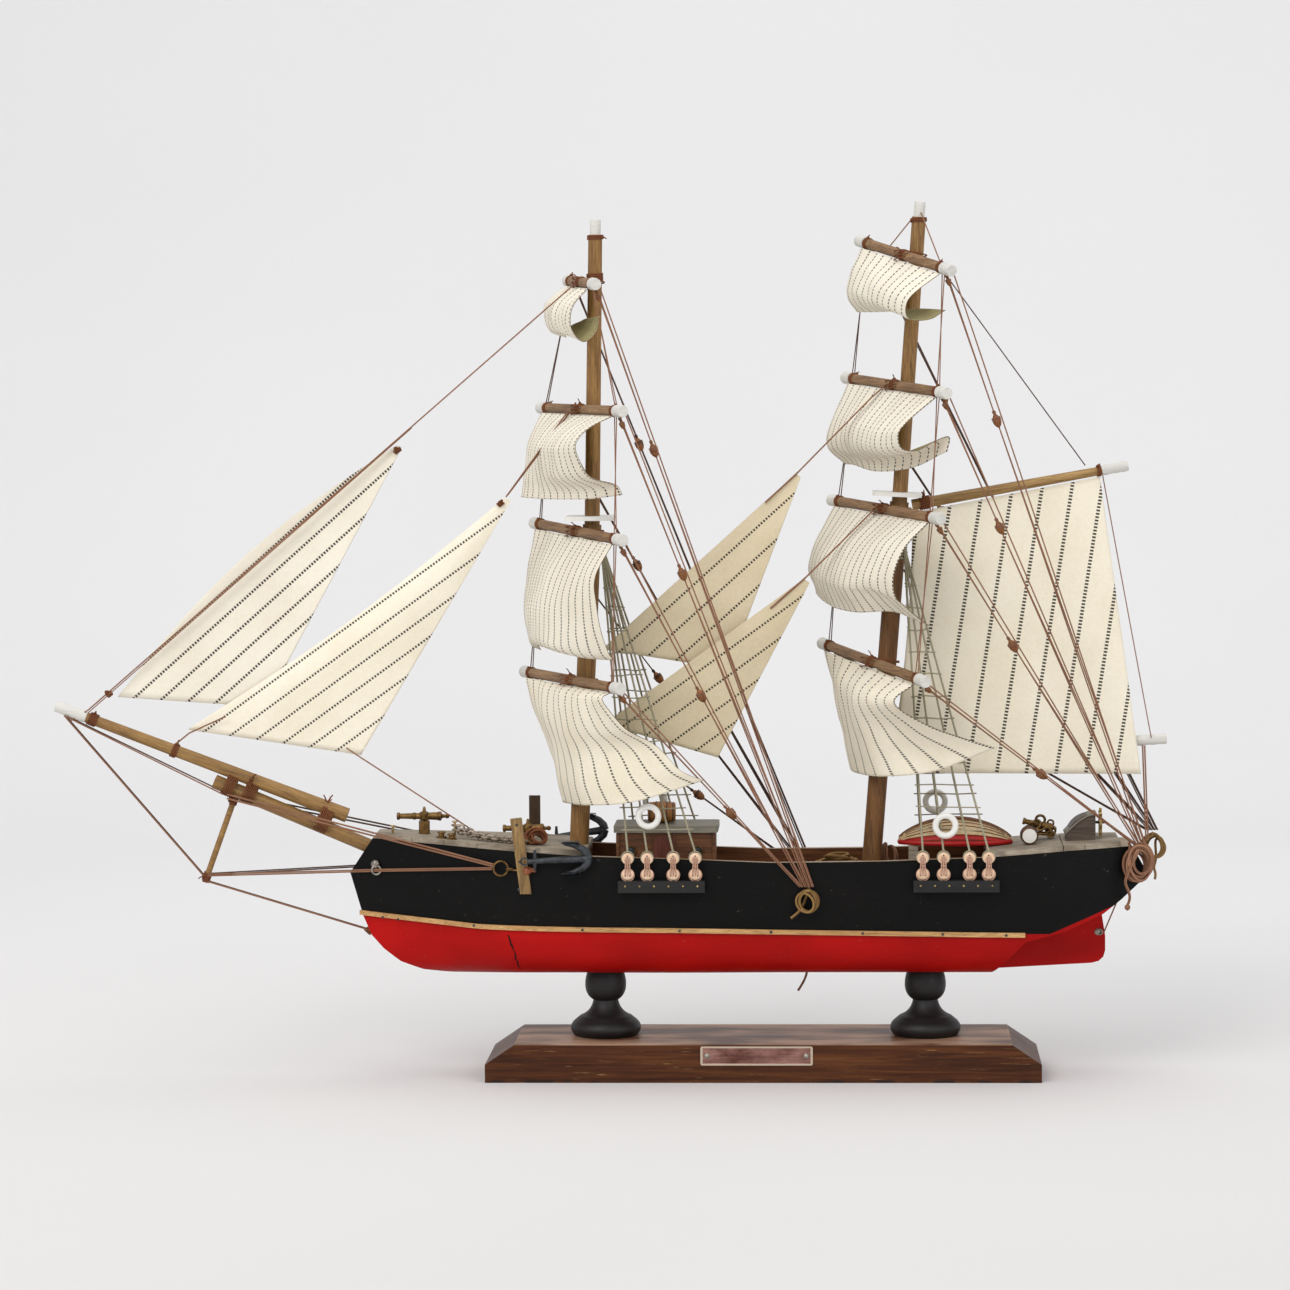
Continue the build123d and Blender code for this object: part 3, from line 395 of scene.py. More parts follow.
# Grain turned to run up a mast.
UPRIGHT = (0, 90, 0)
LOOKS = {
    "stained_wood": base_wood(),
    "plate_metal": plate_metal(),
    "hull_paint": hull_paint(),
    "deck_grey": deck_paint(),
}
LOOK_TABLES = {
    wood: {
        "pale_wood": ((188, 140, 84), (222, 180, 122)),
        "boat_wood": ((196, 164, 120), (230, 206, 166)),
        # The catheads' darker far-side colour is painted shade.
        "batten_wood": ((112, 84, 48), (178, 146, 92), UPRIGHT, 1.4, 0.55, None, (120, 104, 92)),
        "hood_wood": ((66, 54, 46), (104, 90, 78)),
        "door_red": ((92, 42, 30), (134, 70, 52), UPRIGHT),
        "brown_wood": ((84, 50, 26), (132, 84, 46)),
        "mast_wood": ((126, 90, 46), (176, 136, 80), UPRIGHT, 1.0, 0.55, 230.0),
        "fore_mast_wood": ((124, 88, 44), (174, 132, 74), UPRIGHT),
        "spar_wood": ((130, 96, 50), (172, 134, 78), (0, -21, 0)),
        "gaff_wood": ((132, 100, 54), (184, 148, 92), (0, 8, 0)),
        "cask_wood": ((128, 80, 34), (178, 122, 62), UPRIGHT),
        "yard_wood": ((120, 88, 58), (168, 134, 96), (0, 0, -115), 1.0, 0.6),
        "block_wood": ((112, 66, 34), (168, 108, 58)),
    },
    paint: {
        "black_wood": ((12, 11, 11), (28, 26, 25), 0.5, 0.3, (110, 104, 96), 0.12),
        "red_paint": ((146, 6, 4), (174, 13, 9), 0.42, 0.2, (220, 150, 130)),
        "white_paint": ((216, 214, 208), (234, 232, 227), 0.5, 0.25, (150, 146, 138), 0.22),
        "tip_white": ((198, 196, 189), (220, 218, 211), 0.6, 0.3, (146, 140, 130), 0.35),
        "roof_grey": ((100, 97, 86), (138, 133, 118), 0.6, 0.2, (170, 166, 156)),
        "cream_bead": ((212, 174, 140), (236, 206, 178), 0.5, 0.2, (120, 84, 56), 0.08),
        "cloth_edge": ((96, 80, 60), (140, 122, 96), 0.9),
    },
    metal: {
        "bronze": ((64, 46, 24), (140, 108, 62), 0.42),
        "brass": ((120, 98, 58), (206, 180, 120), 0.32),
        "copper": ((118, 66, 44), (186, 116, 84), 0.4, 0.7),
        "dark_iron": ((30, 32, 35), (74, 78, 82), 0.45, 0.55),
        "steel_nail": ((92, 88, 80), (178, 172, 160), 0.35, 0.8),
        "chain_steel": ((84, 66, 54), (190, 176, 160), 0.42, 0.6),
    },
    cord_fibre: {
        "grey_cord": ((112, 106, 84), (184, 176, 152)),
        "olive_cord": ((88, 64, 34), (168, 132, 82)),
        "brown_cord": ((96, 64, 46), (168, 124, 98)),
        # A darker copy of the brown cord; on the far side's lines it is painted shade.
        "dark_cord": ((56, 42, 36), (104, 80, 68)),
        "red_cord": ((72, 40, 24), (142, 88, 56)),
        "pink_cord": ((150, 104, 84), (222, 184, 162)),
    },
    sail_cotton: {
        "sailcloth": ((245, 238, 222), (234, 225, 207), 0.07, 0.62),
        "sailcloth_bold": ((250, 242, 224), (240, 230, 207), 0.062, 0.58),
        "sailcloth_shade": ((228, 214, 184), (214, 199, 167), 0.054, 0.56),
        # The back of the cloth is painted darker and olive: painted shade.
        "sailcloth_back": ((178, 168, 126), (156, 146, 104), 0.02, 0.5),
    },
}
for make, table in LOOK_TABLES.items():
    for name, values in table.items():
        LOOKS[name] = make(name, *values)

MAST_NAMES = ("fore", "main")
SQUARE_NAMES = ("course", "topsail", "topgallant", "royal")
NODES_OF_LOOK = {
    "stained_wood": ["base_board"],
    "plate_metal": ["name_plate"],
    "black_wood": ["stand_pillars", "channels"],
    "hull_paint": ["hull_block", "rudder_board"],
    "pale_wood": ["wale_strips"],
    "deck_grey": ["forecastle_deck", "quarter_deck", "main_deck"],
    "batten_wood": ["catheads"],
    "brown_wood": ["deckhouse"],
    "roof_grey": ["deckhouse_roof"],
    "bronze": ["gun_posts"],
    "hood_wood": ["companion_hood"],
    "brass": ["ships_wheel"],
    "fore_mast_wood": ["fore_mast"],
    "mast_wood": ["main_mast"],
    "white_paint": ["mast_tops"],
    "spar_wood": ["bowsprit", "jib_boom", "dolphin_striker"],
    "gaff_wood": ["gaff", "boom"],
    "yard_wood": [f"{mast}_{level}_yard" for mast, level in product(MAST_NAMES, SQUARE_NAMES)],
}
EDGE_BEVELS = {"base_board": 0.9, "name_plate": 0.15, "deckhouse_roof": 0.4, "wale_strips": 0.25, "catheads": 0.35,
    "rudder_board": 0.5, "channels": 0.35, "mast_tops": 0.4, "forecastle_deck": 0.3, "quarter_deck": 0.3}

for look, nodes in NODES_OF_LOOK.items():
    for node in nodes:
        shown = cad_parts[node]
        shown.data.materials.clear()
        shown.data.materials.append(LOOKS[look])
for node, width in EDGE_BEVELS.items():
    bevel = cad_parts[node].modifiers.new("Edges", "BEVEL")
    settle(bevel, width=width * MM, segments=3, limit_method="ANGLE", angle_limit=math.radians(35))


# --------------------------------------------------------------- mesh making

class Shape:
    """Faces gathered in millimetres for one piece."""

    def __init__(self):
        self.verts = []
        self.faces = []
        self.runs = []
        self.slots = []
        self.slot = 0

    def face(self, corners, uvs):
        self.faces.append(corners)
        self.runs.append(uvs)
        self.slots.append(self.slot)

    def tube(self, points, radius, sides=7, closed=False, axis=None):
        """A round run through points; radius is one number or one for each."""
        points = [Vector(point) for point in points]
        count = len(points)
        radii = list(radius) if isinstance(radius, (list, tuple)) else [radius] * count
        first = len(self.verts)
        side = None
        run = 0.0
        runs = []
        for index, point in enumerate(points):
            ahead = points[(index + 1) % count] if closed or index + 1 < count else point
            behind = points[index - 1] if closed or index else point
            along = axis or (ahead - behind).normalized()
            side = along.orthogonal() if side is None else side - along * side.dot(along)
            side.normalize()
            up = along.cross(side)
            run += (point - points[index - 1]).length if index else 0.0
            runs.append(run)
            for step in range(sides):
                turn = 2 * math.pi * step / sides
                self.verts.append(point + (side * math.cos(turn) + up * math.sin(turn)) * radii[index])
        for index in range(count if closed else count - 1):
            after = (index + 1) % count
            end = runs[after] if after else run + (points[0] - points[-1]).length
            for step in range(sides):
                near, far = step, (step + 1) % sides
                low, high = step / sides, (step + 1) / sides
                self.face((first + index * sides + near, first + index * sides + far, first + after * sides + far,
                    first + after * sides + near), ((runs[index], low), (runs[index], high), (end, high), (end, low)))
        if not closed:
            last = first + (count - 1) * sides
            self.face(tuple(first + step for step in reversed(range(sides))), ((0.0, 0.0),) * sides)
            self.face(tuple(last + step for step in range(sides)), ((run, 0.0),) * sides)

    def lathe(self, origin, axis, profile, sides=24):
        """A turned form: (distance along the axis, radius) pairs."""
        direction = Vector(axis).normalized()
        points = [Vector(origin) + direction * distance for distance, _ in profile]
        self.tube(points, [radius for _, radius in profile], sides, axis=direction)

    def ring(self, centre, axis, radius, count, thick, sides=6):
        """A closed round ring."""
        self.tube(circle(centre, axis, radius, count), thick, sides, closed=True)

    def block(self, low, high):
        """A box between two corners."""
        first = len(self.verts)
        self.verts.extend(Vector(corner) for corner in product(*zip(low, high)))
        for corners in ((0, 1, 3, 2), (4, 6, 7, 5), (0, 4, 5, 1), (2, 3, 7, 6), (0, 2, 6, 4), (1, 5, 7, 3)):
            self.face(tuple(first + corner for corner in corners), ((0, 0), (1, 0), (1, 1), (0, 1)))

    def skin(self, rows):
        """A surface over rows of points."""
        first = len(self.verts)
        width = len(rows[0])
        for row in rows:
            self.verts.extend(Vector(point) for point in row)
        for r, c in product(range(len(rows) - 1), range(width - 1)):
            near = first + r * width + c
            far = near + width
            self.face((near, near + 1, far + 1, far), ((r, c), (r, c + 1), (r + 1, c + 1), (r + 1, c)))

    def piece(self, name, body, looks, sharp=40.0, bevel=0.0):
        """Make the object."""
        mesh = bpy.data.meshes.new(name)
        mesh.from_pydata([tuple(vert * MM) for vert in self.verts], [], self.faces)
        layer = mesh.uv_layers.new(name="Run")
        flat = [value for uvs in self.runs for uv in uvs for value in uv]
        layer.data.foreach_set("uv", flat)
        mesh.polygons.foreach_set("material_index", self.slots)
        mesh.polygons.foreach_set("use_smooth", [True] * len(self.faces))
        for look in looks:
            mesh.materials.append(LOOKS[look])
        mesh.set_sharp_from_angle(angle=math.radians(sharp))
        made = add_object(name, mesh)
        if bevel:
            settle(made.modifiers.new("Edges", "BEVEL"), width=bevel * MM, segments=2, limit_method="ANGLE")
        if body:
            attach(made, body)
        return made


def square_to(axis):
    """An axis and two directions square to it."""
    direction = Vector(axis).normalized()
    side = direction.orthogonal().normalized()
    return direction, side, direction.cross(side)


def circle(centre, axis, radius, count):
    """Points round a circle."""
    _, side, up = square_to(axis)
    turns = [2 * math.pi * step / count for step in range(count)]
    return [Vector(centre) + side * math.cos(turn) * radius + up * math.sin(turn) * radius for turn in turns]


def winding(centre, axis, radius, turns, pitch, per_turn=12):
    """Points of a cord wound round a spar."""
    direction, side, up = square_to(axis)
    total = int(turns * per_turn)
    points = []
    for step in range(total + 1):
        turn = 2 * math.pi * step / per_turn
        shift = (step / per_turn - turns / 2) * pitch
        points.append(Vector(centre) + direction * shift + (side * math.cos(turn) + up * math.sin(turn)) * radius)
    return points


def lash(shape, centre, axis, spar_radius, turns, thread, tails, seed, tail_length):
    """Thread wound round a spar, a knot on it and short loose ends."""
    dice = random.Random(seed)
    radius = spar_radius + thread * 0.8
    shape.tube(winding(centre, axis, radius, turns, thread * 1.9), thread, 6)
    direction = Vector(axis).normalized()
    lifted = Vector((dice.uniform(-1, 1), dice.uniform(-1, -0.2), 1.2))
    outward = direction.cross(lifted).cross(direction).normalized()
    knot = Vector(centre) + outward * (radius + thread * 0.8)
    shape.ring(knot, direction + outward * 0.4, thread * 1.7, 10, thread)
    shape.ring(knot, outward.cross(direction), thread * 1.4, 10, thread)
    for _ in range(tails):
        lean = (outward + Vector((dice.uniform(-0.9, 0.9), dice.uniform(-0.6, 0.2), dice.uniform(-0.4, 0.9)))) * 0.5
        length = tail_length * dice.uniform(0.6, 1.0)
        middle = knot + lean * length * 0.6
        end = knot + lean * length + Vector((0, 0, -0.6))
        shape.tube((knot, middle, end), (thread * 0.9, thread * 0.85, thread * 0.7), 6)


def teardrop(shape, top, toward, length, width):
    """A small block hung on a line, with its eye and the thread round it."""
    direction = (Vector(toward) - Vector(top)).normalized()
    origin = Vector(top)
    shape.slot = 1
    shape.lathe(origin, direction,
        ((0.0, 0.2), (length * 0.12, width * 0.5), (length * 0.38, width * 0.95), (length * 0.6, width),
        (length * 0.82, width * 0.7), (length, width * 0.15)), 12)
    shape.slot = 0
    shape.ring(origin - direction * 0.5, direction.orthogonal(), 0.8, 12, 0.28)
    for turn in (0.3, 0.42):
        shape.ring(origin + direction * length * turn, direction, width * 0.97, 14, 0.26)
    return origin + direction * length


def nail(shape, point, axis, radius, height):
    """A domed nail head standing on a surface."""
    shape.lathe(point, axis,
        ((-0.3, radius), (height * 0.3, radius * 0.98), (height * 0.7, radius * 0.75), (height, radius * 0.25)), 14)


def spar_ends(node):
    """The two ends of a straight spar, from its mesh, starboard or aft first."""
    points = [vert.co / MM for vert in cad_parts[node].data.vertices]
    middle = sum(points, Vector()) / len(points)
    run = max(points, key=lambda point: (point - middle).length) - middle
    places = [(point - middle).dot(run.normalized()) for point in points]
    ends = []
    for limit in (min(places), max(places)):
        cap = [point for point, place in zip(points, places) if abs(place - limit) < 0.8]
        ends.append(sum(cap, Vector()) / len(cap))
    return sorted(ends, key=lambda end: (-round(end.y), -end.x))


YARD_RADIUS = 2.2
YARDS = {(mast, level): spar_ends(f"{mast}_{level}_yard") for mast, level in product(MAST_NAMES, SQUARE_NAMES)}
MASTS = {
    "fore": ((-79.5, 0, 98.2), (-72.6, 0, 238.0), (-70.2, 0, 362.3), (-70.1, 0, 368.3)),
    "main": ((46.6, 0, 87.0), (59.6, 0, 247.0), (68.4, 0, 368.7), (68.9, 0, 374.7)),
}


def mast_at(mast, height):
    """The mast's middle line at a height."""
    points = MASTS[mast]
    for low, high in pairwise(points):
        if height <= high[2]:
            return between(low, high, (height - low[2]) / (high[2] - low[2]))
    return Vector(points[-1])


# --------------------------------------------------------------------- sails

def smooth_line(points, share):
    """A point on the smooth curve through a few points."""
    place = share * (len(points) - 1)
    index = min(int(place), len(points) - 2)
    t = place - index
    p1, p2 = Vector(points[index]), Vector(points[index + 1])
    p0 = Vector(points[index - 1]) if index else p1 * 2 - p2
    p3 = Vector(points[index + 2]) if index + 2 < len(points) else p2 * 2 - p1
    bend = 2 * p0 - 5 * p1 + 4 * p2 - p3
    twist = 3 * p1 - p0 - 3 * p2 + p3
    return 0.5 * (2 * p1 + (p2 - p0) * t + bend * t * t + twist * t ** 3)


def along(points, share):
    """A point on the smooth curve through some points, placed by length."""
    points = [Vector(point) for point in points]
    steps = [(b - a).length for a, b in pairwise(points)]
    goal = share * sum(steps)
    index = 0
    while index < len(steps) - 1 and goal > steps[index]:
        goal -= steps[index]
        index += 1
    return smooth_line(points, (index + min(1.0, goal / steps[index])) / len(steps))


CLOTH_THICKNESS = 0.32


def sail_piece(name, body, grid, looks, stripe_of):
    """A thin cloth over a grid of points, with its woven and striped layout."""
    shape = Shape()
    shape.skin(grid)
    made = shape.piece(name, None, looks, sharp=180.0)
    mesh = made.data
    width = len(grid[0])
    cloth = mesh.uv_layers.new(name="Cloth")
    stripes = mesh.uv_layers.new(name="Stripes")
    spots = [stripe_of(index // width, index % width, point) for index, point in enumerate(shape.verts)]
    corners = [vertex for face in shape.faces for vertex in face]
    cloth.data.foreach_set("uv", [value for v in corners for value in spots[v][:2]])
    stripes.data.foreach_set("uv", [value for v in corners for value in spots[v][2:]])
    settle(made.modifiers.new("Cloth", "SOLIDIFY"), thickness=CLOTH_THICKNESS * MM, offset=0.0, material_offset=1,
        material_offset_rim=2)
    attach(made, body)
    return made


# Square sails: the inset of the head from the yard's ends, the starboard edge
# and the port edge below the yard as (x, z), the foot from the starboard clew
# to the port clew, the width of one striped cloth, and the look.
SQUARE_SAILS = {
    ("fore", "course"): (7.0, ((-101.5, 154.0), (-95.6, 141.0)),
        ((-66.0, 165.8), (-56.8, 154.3), (-44.2, 146.7), (-33.7, 136.0)),
        ((-87, 40, 115.4), (-87, 20, 116.4), (-85, 0, 117.6), (-74, -24, 119), (-53, -38.5, 122),
        (-23.8, -39.5, 131)), 8.6, "sailcloth_bold"),
    ("fore", "topsail"): (7.0, ((-104.8, 203.2), (-103.2, 185.4)),
        ((-68.1, 218.5), (-68.6, 207.9), (-67.0, 197.4), (-64.2, 186.0)),
        ((-98.4, 41, 181.2), (-98, 24, 184.4), (-94, 2, 185), (-86, -18, 184.2), (-74, -32, 182.6),
        (-60.9, -42, 182.4)), 5.9, "sailcloth"),
    ("fore", "topgallant"): (6.0, ((-101.9, 273.9), (-103.8, 260.7)),
        ((-70.6, 280.3), (-76.6, 273.6), (-75.4, 266.9), (-71.0, 259.7), (-60.5, 256.1)),
        ((-105.7, 35, 249), (-101, 20, 249), (-91, 2, 249), (-81, -14, 249.4), (-70.5, -26, 250),
        (-57.7, -34, 251.8)), 5.8, "sailcloth"),
    ("fore", "royal"): (7.0, ((-92.9, 332.8), (-92.1, 322.0)),
        ((-78.4, 331.5), (-79.6, 323.0), (-74.4, 316.6), (-69.0, 320.4)),
        ((-84.5, 20, 318.6), (-84, 13, 320.5), (-82, 5, 322.5), (-78.5, -3, 324.6), (-73.6, -12, 326.4),
        (-66.7, -21, 327.4)), 5.2, "sailcloth"),
    ("main", "course"): (7.0, ((32.7, 154.7),), ((56.6, 164.8), (71.6, 154.6), (86.2, 149.1)),
        ((39.4, 40, 129.8), (38.6, 22, 129.6), (41.6, 2, 129.8), (52, -24, 131), (74, -36, 134.4),
        (98.8, -41, 144.6)), 10.4, "sailcloth_bold"),
    ("main", "topsail"): (7.0, ((20.3, 220.3),), ((60.5, 228.3), (56.6, 217.0), (57.1, 208.6), (61.3, 204.8)),
        ((23.4, 41, 205.7), (27, 24, 203.2), (33, 3, 201), (42, -17, 200.6), (57, -33, 201.6), (70.9, -43, 196.3)),
        5.6, "sailcloth"),
    ("main", "topgallant"): (6.0, ((28.5, 273.0),),
        ((60.8, 280.4), (58.5, 275.0), (60.3, 270.6), (66.5, 269.9), (74.0, 273.6), (80.2, 275.4)),
        ((36.3, 37, 262.5), (40.5, 25, 262.4), (48, 7, 260.2), (57.5, -10, 260.6), (67.5, -24, 263.2),
        (79.2, -34, 269.2)), 5.6, "sailcloth"),
    ("main", "royal"): (6.0, ((37.1, 337.5),), ((64.4, 334.8), (62.1, 328.3), (64.6, 324.6), (73.0, 325.0)),
        ((41.8, 29, 328.8), (47.5, 17, 328.6), (54, 5, 328.6), (61, -6, 329), (69, -17, 329.4), (79.0, -28, 328.6)),
        6.4, "sailcloth"),
}
SAIL_COLUMNS = 56
SAIL_ROWS = 44
SQUARE_DASH = 1.35
JIB_DASH = 1.45
# How far a sail's head lies below and ahead of its yard's middle line.
HEAD_OFFSET = 2.1


def sail_node(mast, level):
    """The CAD name of a square sail."""
    return f"{mast}_topsail" if level == "topsail" else f"{mast}_{level}_sail"


def square_sail(mast, level):
    """A square sail bent to its yard, billowing and curling at the foot."""
    inset, starboard_edge, port_edge, foot, pitch, look = SQUARE_SAILS[mast, level]
    starboard, port = YARDS[mast, level]
    length = (port - starboard).length
    forward = Vector((0, 0, 1)).cross(port - starboard).normalized()
    forward = -forward if forward.x > 0 else forward
    below = forward * HEAD_OFFSET + Vector((0, 0, -HEAD_OFFSET))
    heads = [between(starboard, port, share) + below for share in (inset / length, 1 - inset / length)]
    leeches = []
    for head, clew, marks in ((heads[0], foot[0], starboard_edge), (heads[1], foot[-1], port_edge)):
        leech = [head]
        for x, z in marks:
            plain = between(head, clew, min(1.0, (head.z - z) / (head.z - clew[2])))
            leech.append((x, plain.y + 0.45 * (x - plain.x), z))
        leeches.append(leech + [clew])
    seed = Vector((len(mast) + len(level), port.z * 0.1, 3.7))
    grid = []
    for row in range(SAIL_ROWS + 1):
        down = row / SAIL_ROWS
        left, right = along(leeches[0], down), along(leeches[1], down)
        line = []
        for column in range(SAIL_COLUMNS + 1):
            share = column / SAIL_COLUMNS
            top = between(*heads, share)
            spot = between(top, along(foot, share), down) + between(left, right, share)
            spot -= between(top, between(foot[0], foot[-1], share), down)
            scallop = 0.45 * math.sin(share * math.pi * 9) * (1 - down) ** 3
            ripple = noise.noise(Vector((share * 5, down * 4, 0)) + seed) * 0.9
            crease = noise.noise(Vector((share * 16, down * 5, 9)) + seed) * 0.35
            spot += forward * ((ripple + crease) * min(1.0, down * 4) + scallop)
            line.append(spot)
        grid.append(line)
    across = length - 2 * inset
    drop_length = sum((grid[row + 1][SAIL_COLUMNS // 2] - grid[row][SAIL_COLUMNS // 2]).length
        for row in range(SAIL_ROWS))
    foot_width = sum((grid[-1][c + 1] - grid[-1][c]).length for c in range(SAIL_COLUMNS))
    mean = (across + foot_width) / 2

    def layout(row, column, point):
        u = column / SAIL_COLUMNS * mean
        v = row / SAIL_ROWS * drop_length
        return u, v, u / pitch + 0.2, v / SQUARE_DASH

    node = sail_node(mast, level)
    # The back faces take the darker cloth as painted shade.
    made = sail_piece(f"{node}_cloth", f"{mast}_yards", grid, ["sailcloth_back", look, "cloth_edge"], layout)
    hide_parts(node)
    mean * MM


for mast, level in product(MAST_NAMES, SQUARE_NAMES):
    square_sail(mast, level)

# Fore-and-aft sails: tack, clew, peak, throat, where they stand across the
# ship, their belly, the hollow of the free edge, the run of the stripes (None
# means from tack to throat), the width of one cloth, the look, and what holds them.
JIB_SAILS = {
    "flying_jib": ((-280.0, 164.2), (-216.0, 159.6), (-154.6, 272.0), (-157.0, 272.6), 1.4, 1.5, 8.4, None, 8.4,
        "sailcloth", ("standing_rigging",)),
    "inner_jib": ((-249.5, 150.0), (-173.8, 138.7), (-107.6, 248.6), (-110.4, 249.6), 0.0, -3.0, -3.4, None, 8.1,
        "sailcloth_bold", ("standing_rigging",)),
    "upper_staysail": ((-69.0, 184.0), (-14.5, 175.2), (17.4, 258.0), (15.0, 259.2), 2.4, 1.0, 0.0, None, 9.6,
        "sailcloth_shade", ("fore_mast",)),
    "lower_staysail": ((-68.0, 152.0), (-19.0, 137.3), (21.0, 212.6), (18.4, 214.2), -2.4, -1.0, 0.0, None, 9.0,
        "sailcloth_shade", ("fore_mast",)),
    "spanker_sail": ((54.8, 130.2), (162.9, 129.4), (145.4, 257.2), (65.4, 242.4), 0.0, -2.0, -2.2,
        (100.0, 130.0, 118.0, 242.0), 12.6, "sailcloth_bold", ("gaff", "main_mast")),
}


def fore_aft_sail(name):
    """A jib, staysail or spanker: a nearly flat cloth with a slight belly."""
    tack, clew, peak, throat, y, belly, hollow, run, pitch, look, holds = JIB_SAILS[name]
    run = run or (*tack, *throat)
    stripe = Vector((run[2] - run[0], 0, run[3] - run[1])).normalized()
    normal = Vector((stripe.z, 0, -stripe.x))
    seed = Vector((tack[0] * 0.1, tack[1] * 0.1, 1.3))
    luff_side = Vector((-(throat[1] - tack[1]), 0, throat[0] - tack[0])).normalized()
    grid = []
    for row in range(SAIL_ROWS + 1):
        up = row / SAIL_ROWS
        line = []
        for column in range(SAIL_COLUMNS + 1):
            across = column / SAIL_COLUMNS
            low = between((tack[0], y, tack[1]), (clew[0], y, clew[1]), across)
            high = between((throat[0], y, throat[1]), (peak[0], y, peak[1]), across)
            spot = between(low, high, up)
            bow = math.sin(math.pi * up)
            spot.y += belly * math.sin(math.pi * across) * bow
            spot += luff_side * hollow * bow * (1 - across) ** 2
            ripple = noise.noise(Vector((across * 3, up * 4, 0)) + seed) * 0.9
            spot.y += ripple * math.sin(math.pi * min(1.0, across * 1.2 + 0.1)) * (1 - up * 0.6)
            line.append(spot)
        grid.append(line)
    origin = Vector((tack[0], 0, tack[1]))

    def layout(row, column, point):
        flat = Vector((point.x, 0, point.z)) - origin
        u = flat.dot(normal)
        v = flat.dot(stripe)
        return u, v, u / pitch - 0.12, v / JIB_DASH

    made = sail_piece(f"{name}_cloth", "hull", grid, [look, look, "cloth_edge"], layout)
    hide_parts(name)
    xs = [corner[0] for corner in (tack, clew, peak, throat)]
    zs = [corner[1] for corner in (tack, clew, peak, throat)]
    area = abs(sum(xs[i] * zs[(i + 1) % 4] - xs[(i + 1) % 4] * zs[i] for i in range(4))) / 2
    area * MM * MM


for sail in JIB_SAILS:
    fore_aft_sail(sail)

# ---------------------------------------------------------------- white tips

TIP_LENGTH = 6.6


def white_tip(shape, end, inner, radius, length, seed):
    """A rough white sleeve over the end of a spar."""
    dice = random.Random(seed)
    direction = (Vector(inner) - Vector(end)).normalized()
    points = [Vector(end) - direction * 0.5]
    radii = [radius + 0.2]
    for step in range(8):
        points.append(Vector(end) + direction * (length * step / 7))
        radii.append(radius + 0.42 + dice.uniform(-0.14, 0.16))
    points.append(points[-1] + direction * 0.25)
    radii.append(radius + 0.02)
    shape.tube(points, radii, 14)


for mast in MAST_NAMES:
    tips = Shape()
    ties = Shape()
    for order, level in enumerate(SQUARE_NAMES):
        starboard, port = YARDS[mast, level]
        run = port - starboard
        for number, (end, other) in enumerate(((starboard, port), (port, starboard))):
            mark = order * 10 + number
            white_tip(tips, end, other, YARD_RADIUS, TIP_LENGTH, mark)
            lash(ties, between(end, other, 8.4 / run.length), run, YARD_RADIUS, 5, 0.27, 1, mark + 3, 2.6)
        middle = (starboard + port) / 2
        lash(ties, middle, run, YARD_RADIUS, 6, 0.28, 1, order + 40, 4.0)
        radius = 4.0 if order < 2 else 3.2
        core = mast_at(mast, middle.z)
        away = core - middle
        away.z = 0
        for rise in (-1.4, 0.0, 1.5):
            centre = (core + middle) / 2 + Vector((0, 0, rise * 0.6))
            ties.ring(centre, (0.1 * rise, 0.1, 1), radius + away.length / 2 + 0.9, 24, 0.28)
    tips.piece(f"{mast}_yard_tips", f"{mast}_yards", ["tip_white"])
    ties.piece(f"{mast}_yard_lashings", f"{mast}_yards", ["red_cord"])

heads = Shape()
for mast in MAST_NAMES:
    white_tip(heads, MASTS[mast][3], MASTS[mast][2], 2.0, 6.2, 7)
gaff_ends = spar_ends("gaff")
boom_ends = spar_ends("boom")
jib_boom_ends = spar_ends("jib_boom")
white_tip(heads, gaff_ends[0], gaff_ends[1], 1.8, 11.0, 8)
white_tip(heads, boom_ends[0], boom_ends[1], 1.9, 12.6, 9)
white_tip(heads, jib_boom_ends[1], jib_boom_ends[0], 2.1, 13.6, 10)
heads.piece("mast_and_spar_tips", "hull", ["tip_white"])

# -------------------------------------------------------- shrouds, deadeyes

FORE_DEADEYES = (-56.8, -48.5, -37.4, -28.0)
MAIN_DEADEYES = (68.6, 77.4, 88.4, 96.5)
DEADEYE_FACE = 31.5
EYE_HEIGHTS = (90.2, 96.9)
SHROUD_TOPS = {"fore": (-68.6, 3.2, 229.0), "main": (61.6, 3.2, 228.0)}
SHROUD_FOOT_Y, SHROUD_FOOT_Z = 31.4, 99.6
RATLINE_STEP = 9.3

gang = Shape()
dice = random.Random(5)
for mast, eyes in (("fore", FORE_DEADEYES), ("main", MAIN_DEADEYES)):
    for side in (-1, 1):
        x, y, z = SHROUD_TOPS[mast]
        top = Vector((x, side * y, z))
        feet = [Vector((x, side * SHROUD_FOOT_Y, SHROUD_FOOT_Z)) for x in eyes]
        for foot in feet:
            gang.tube([between(foot, top, share / 8) for share in range(9)], 0.45, 7)
            gang.ring(foot - Vector((0, 0, 2.3)), (0, 1, 0), 2.6, 20, 0.3)
        for count in range(1, 13):
            share = count * RATLINE_STEP / (top.z - SHROUD_FOOT_Z)
            marks = [between(foot, top, share + dice.uniform(-0.003, 0.003)) for foot in feet]
            marks.insert(0, between(marks[1], marks[0], 1.25))
            marks.append(between(marks[-2], marks[-1], 1.25))
            gang.tube([mark + Vector((0, side * 0.5, 0)) for mark in marks], 0.3, 6)
            for mark in marks[1:-1]:
                gang.ring(mark, (0.2, 0, 1), 0.66, 10, 0.26)
    core = mast_at(mast, 229.0)
    gang.tube(winding(core, (0, 0, 1), 4.45, 7, 1.0), 0.5, 7)
    gang.tube(winding(core - Vector((0, 0, 5)), (0.1, 0.1, 1), 4.6, 3, 1.3), 0.5, 7)
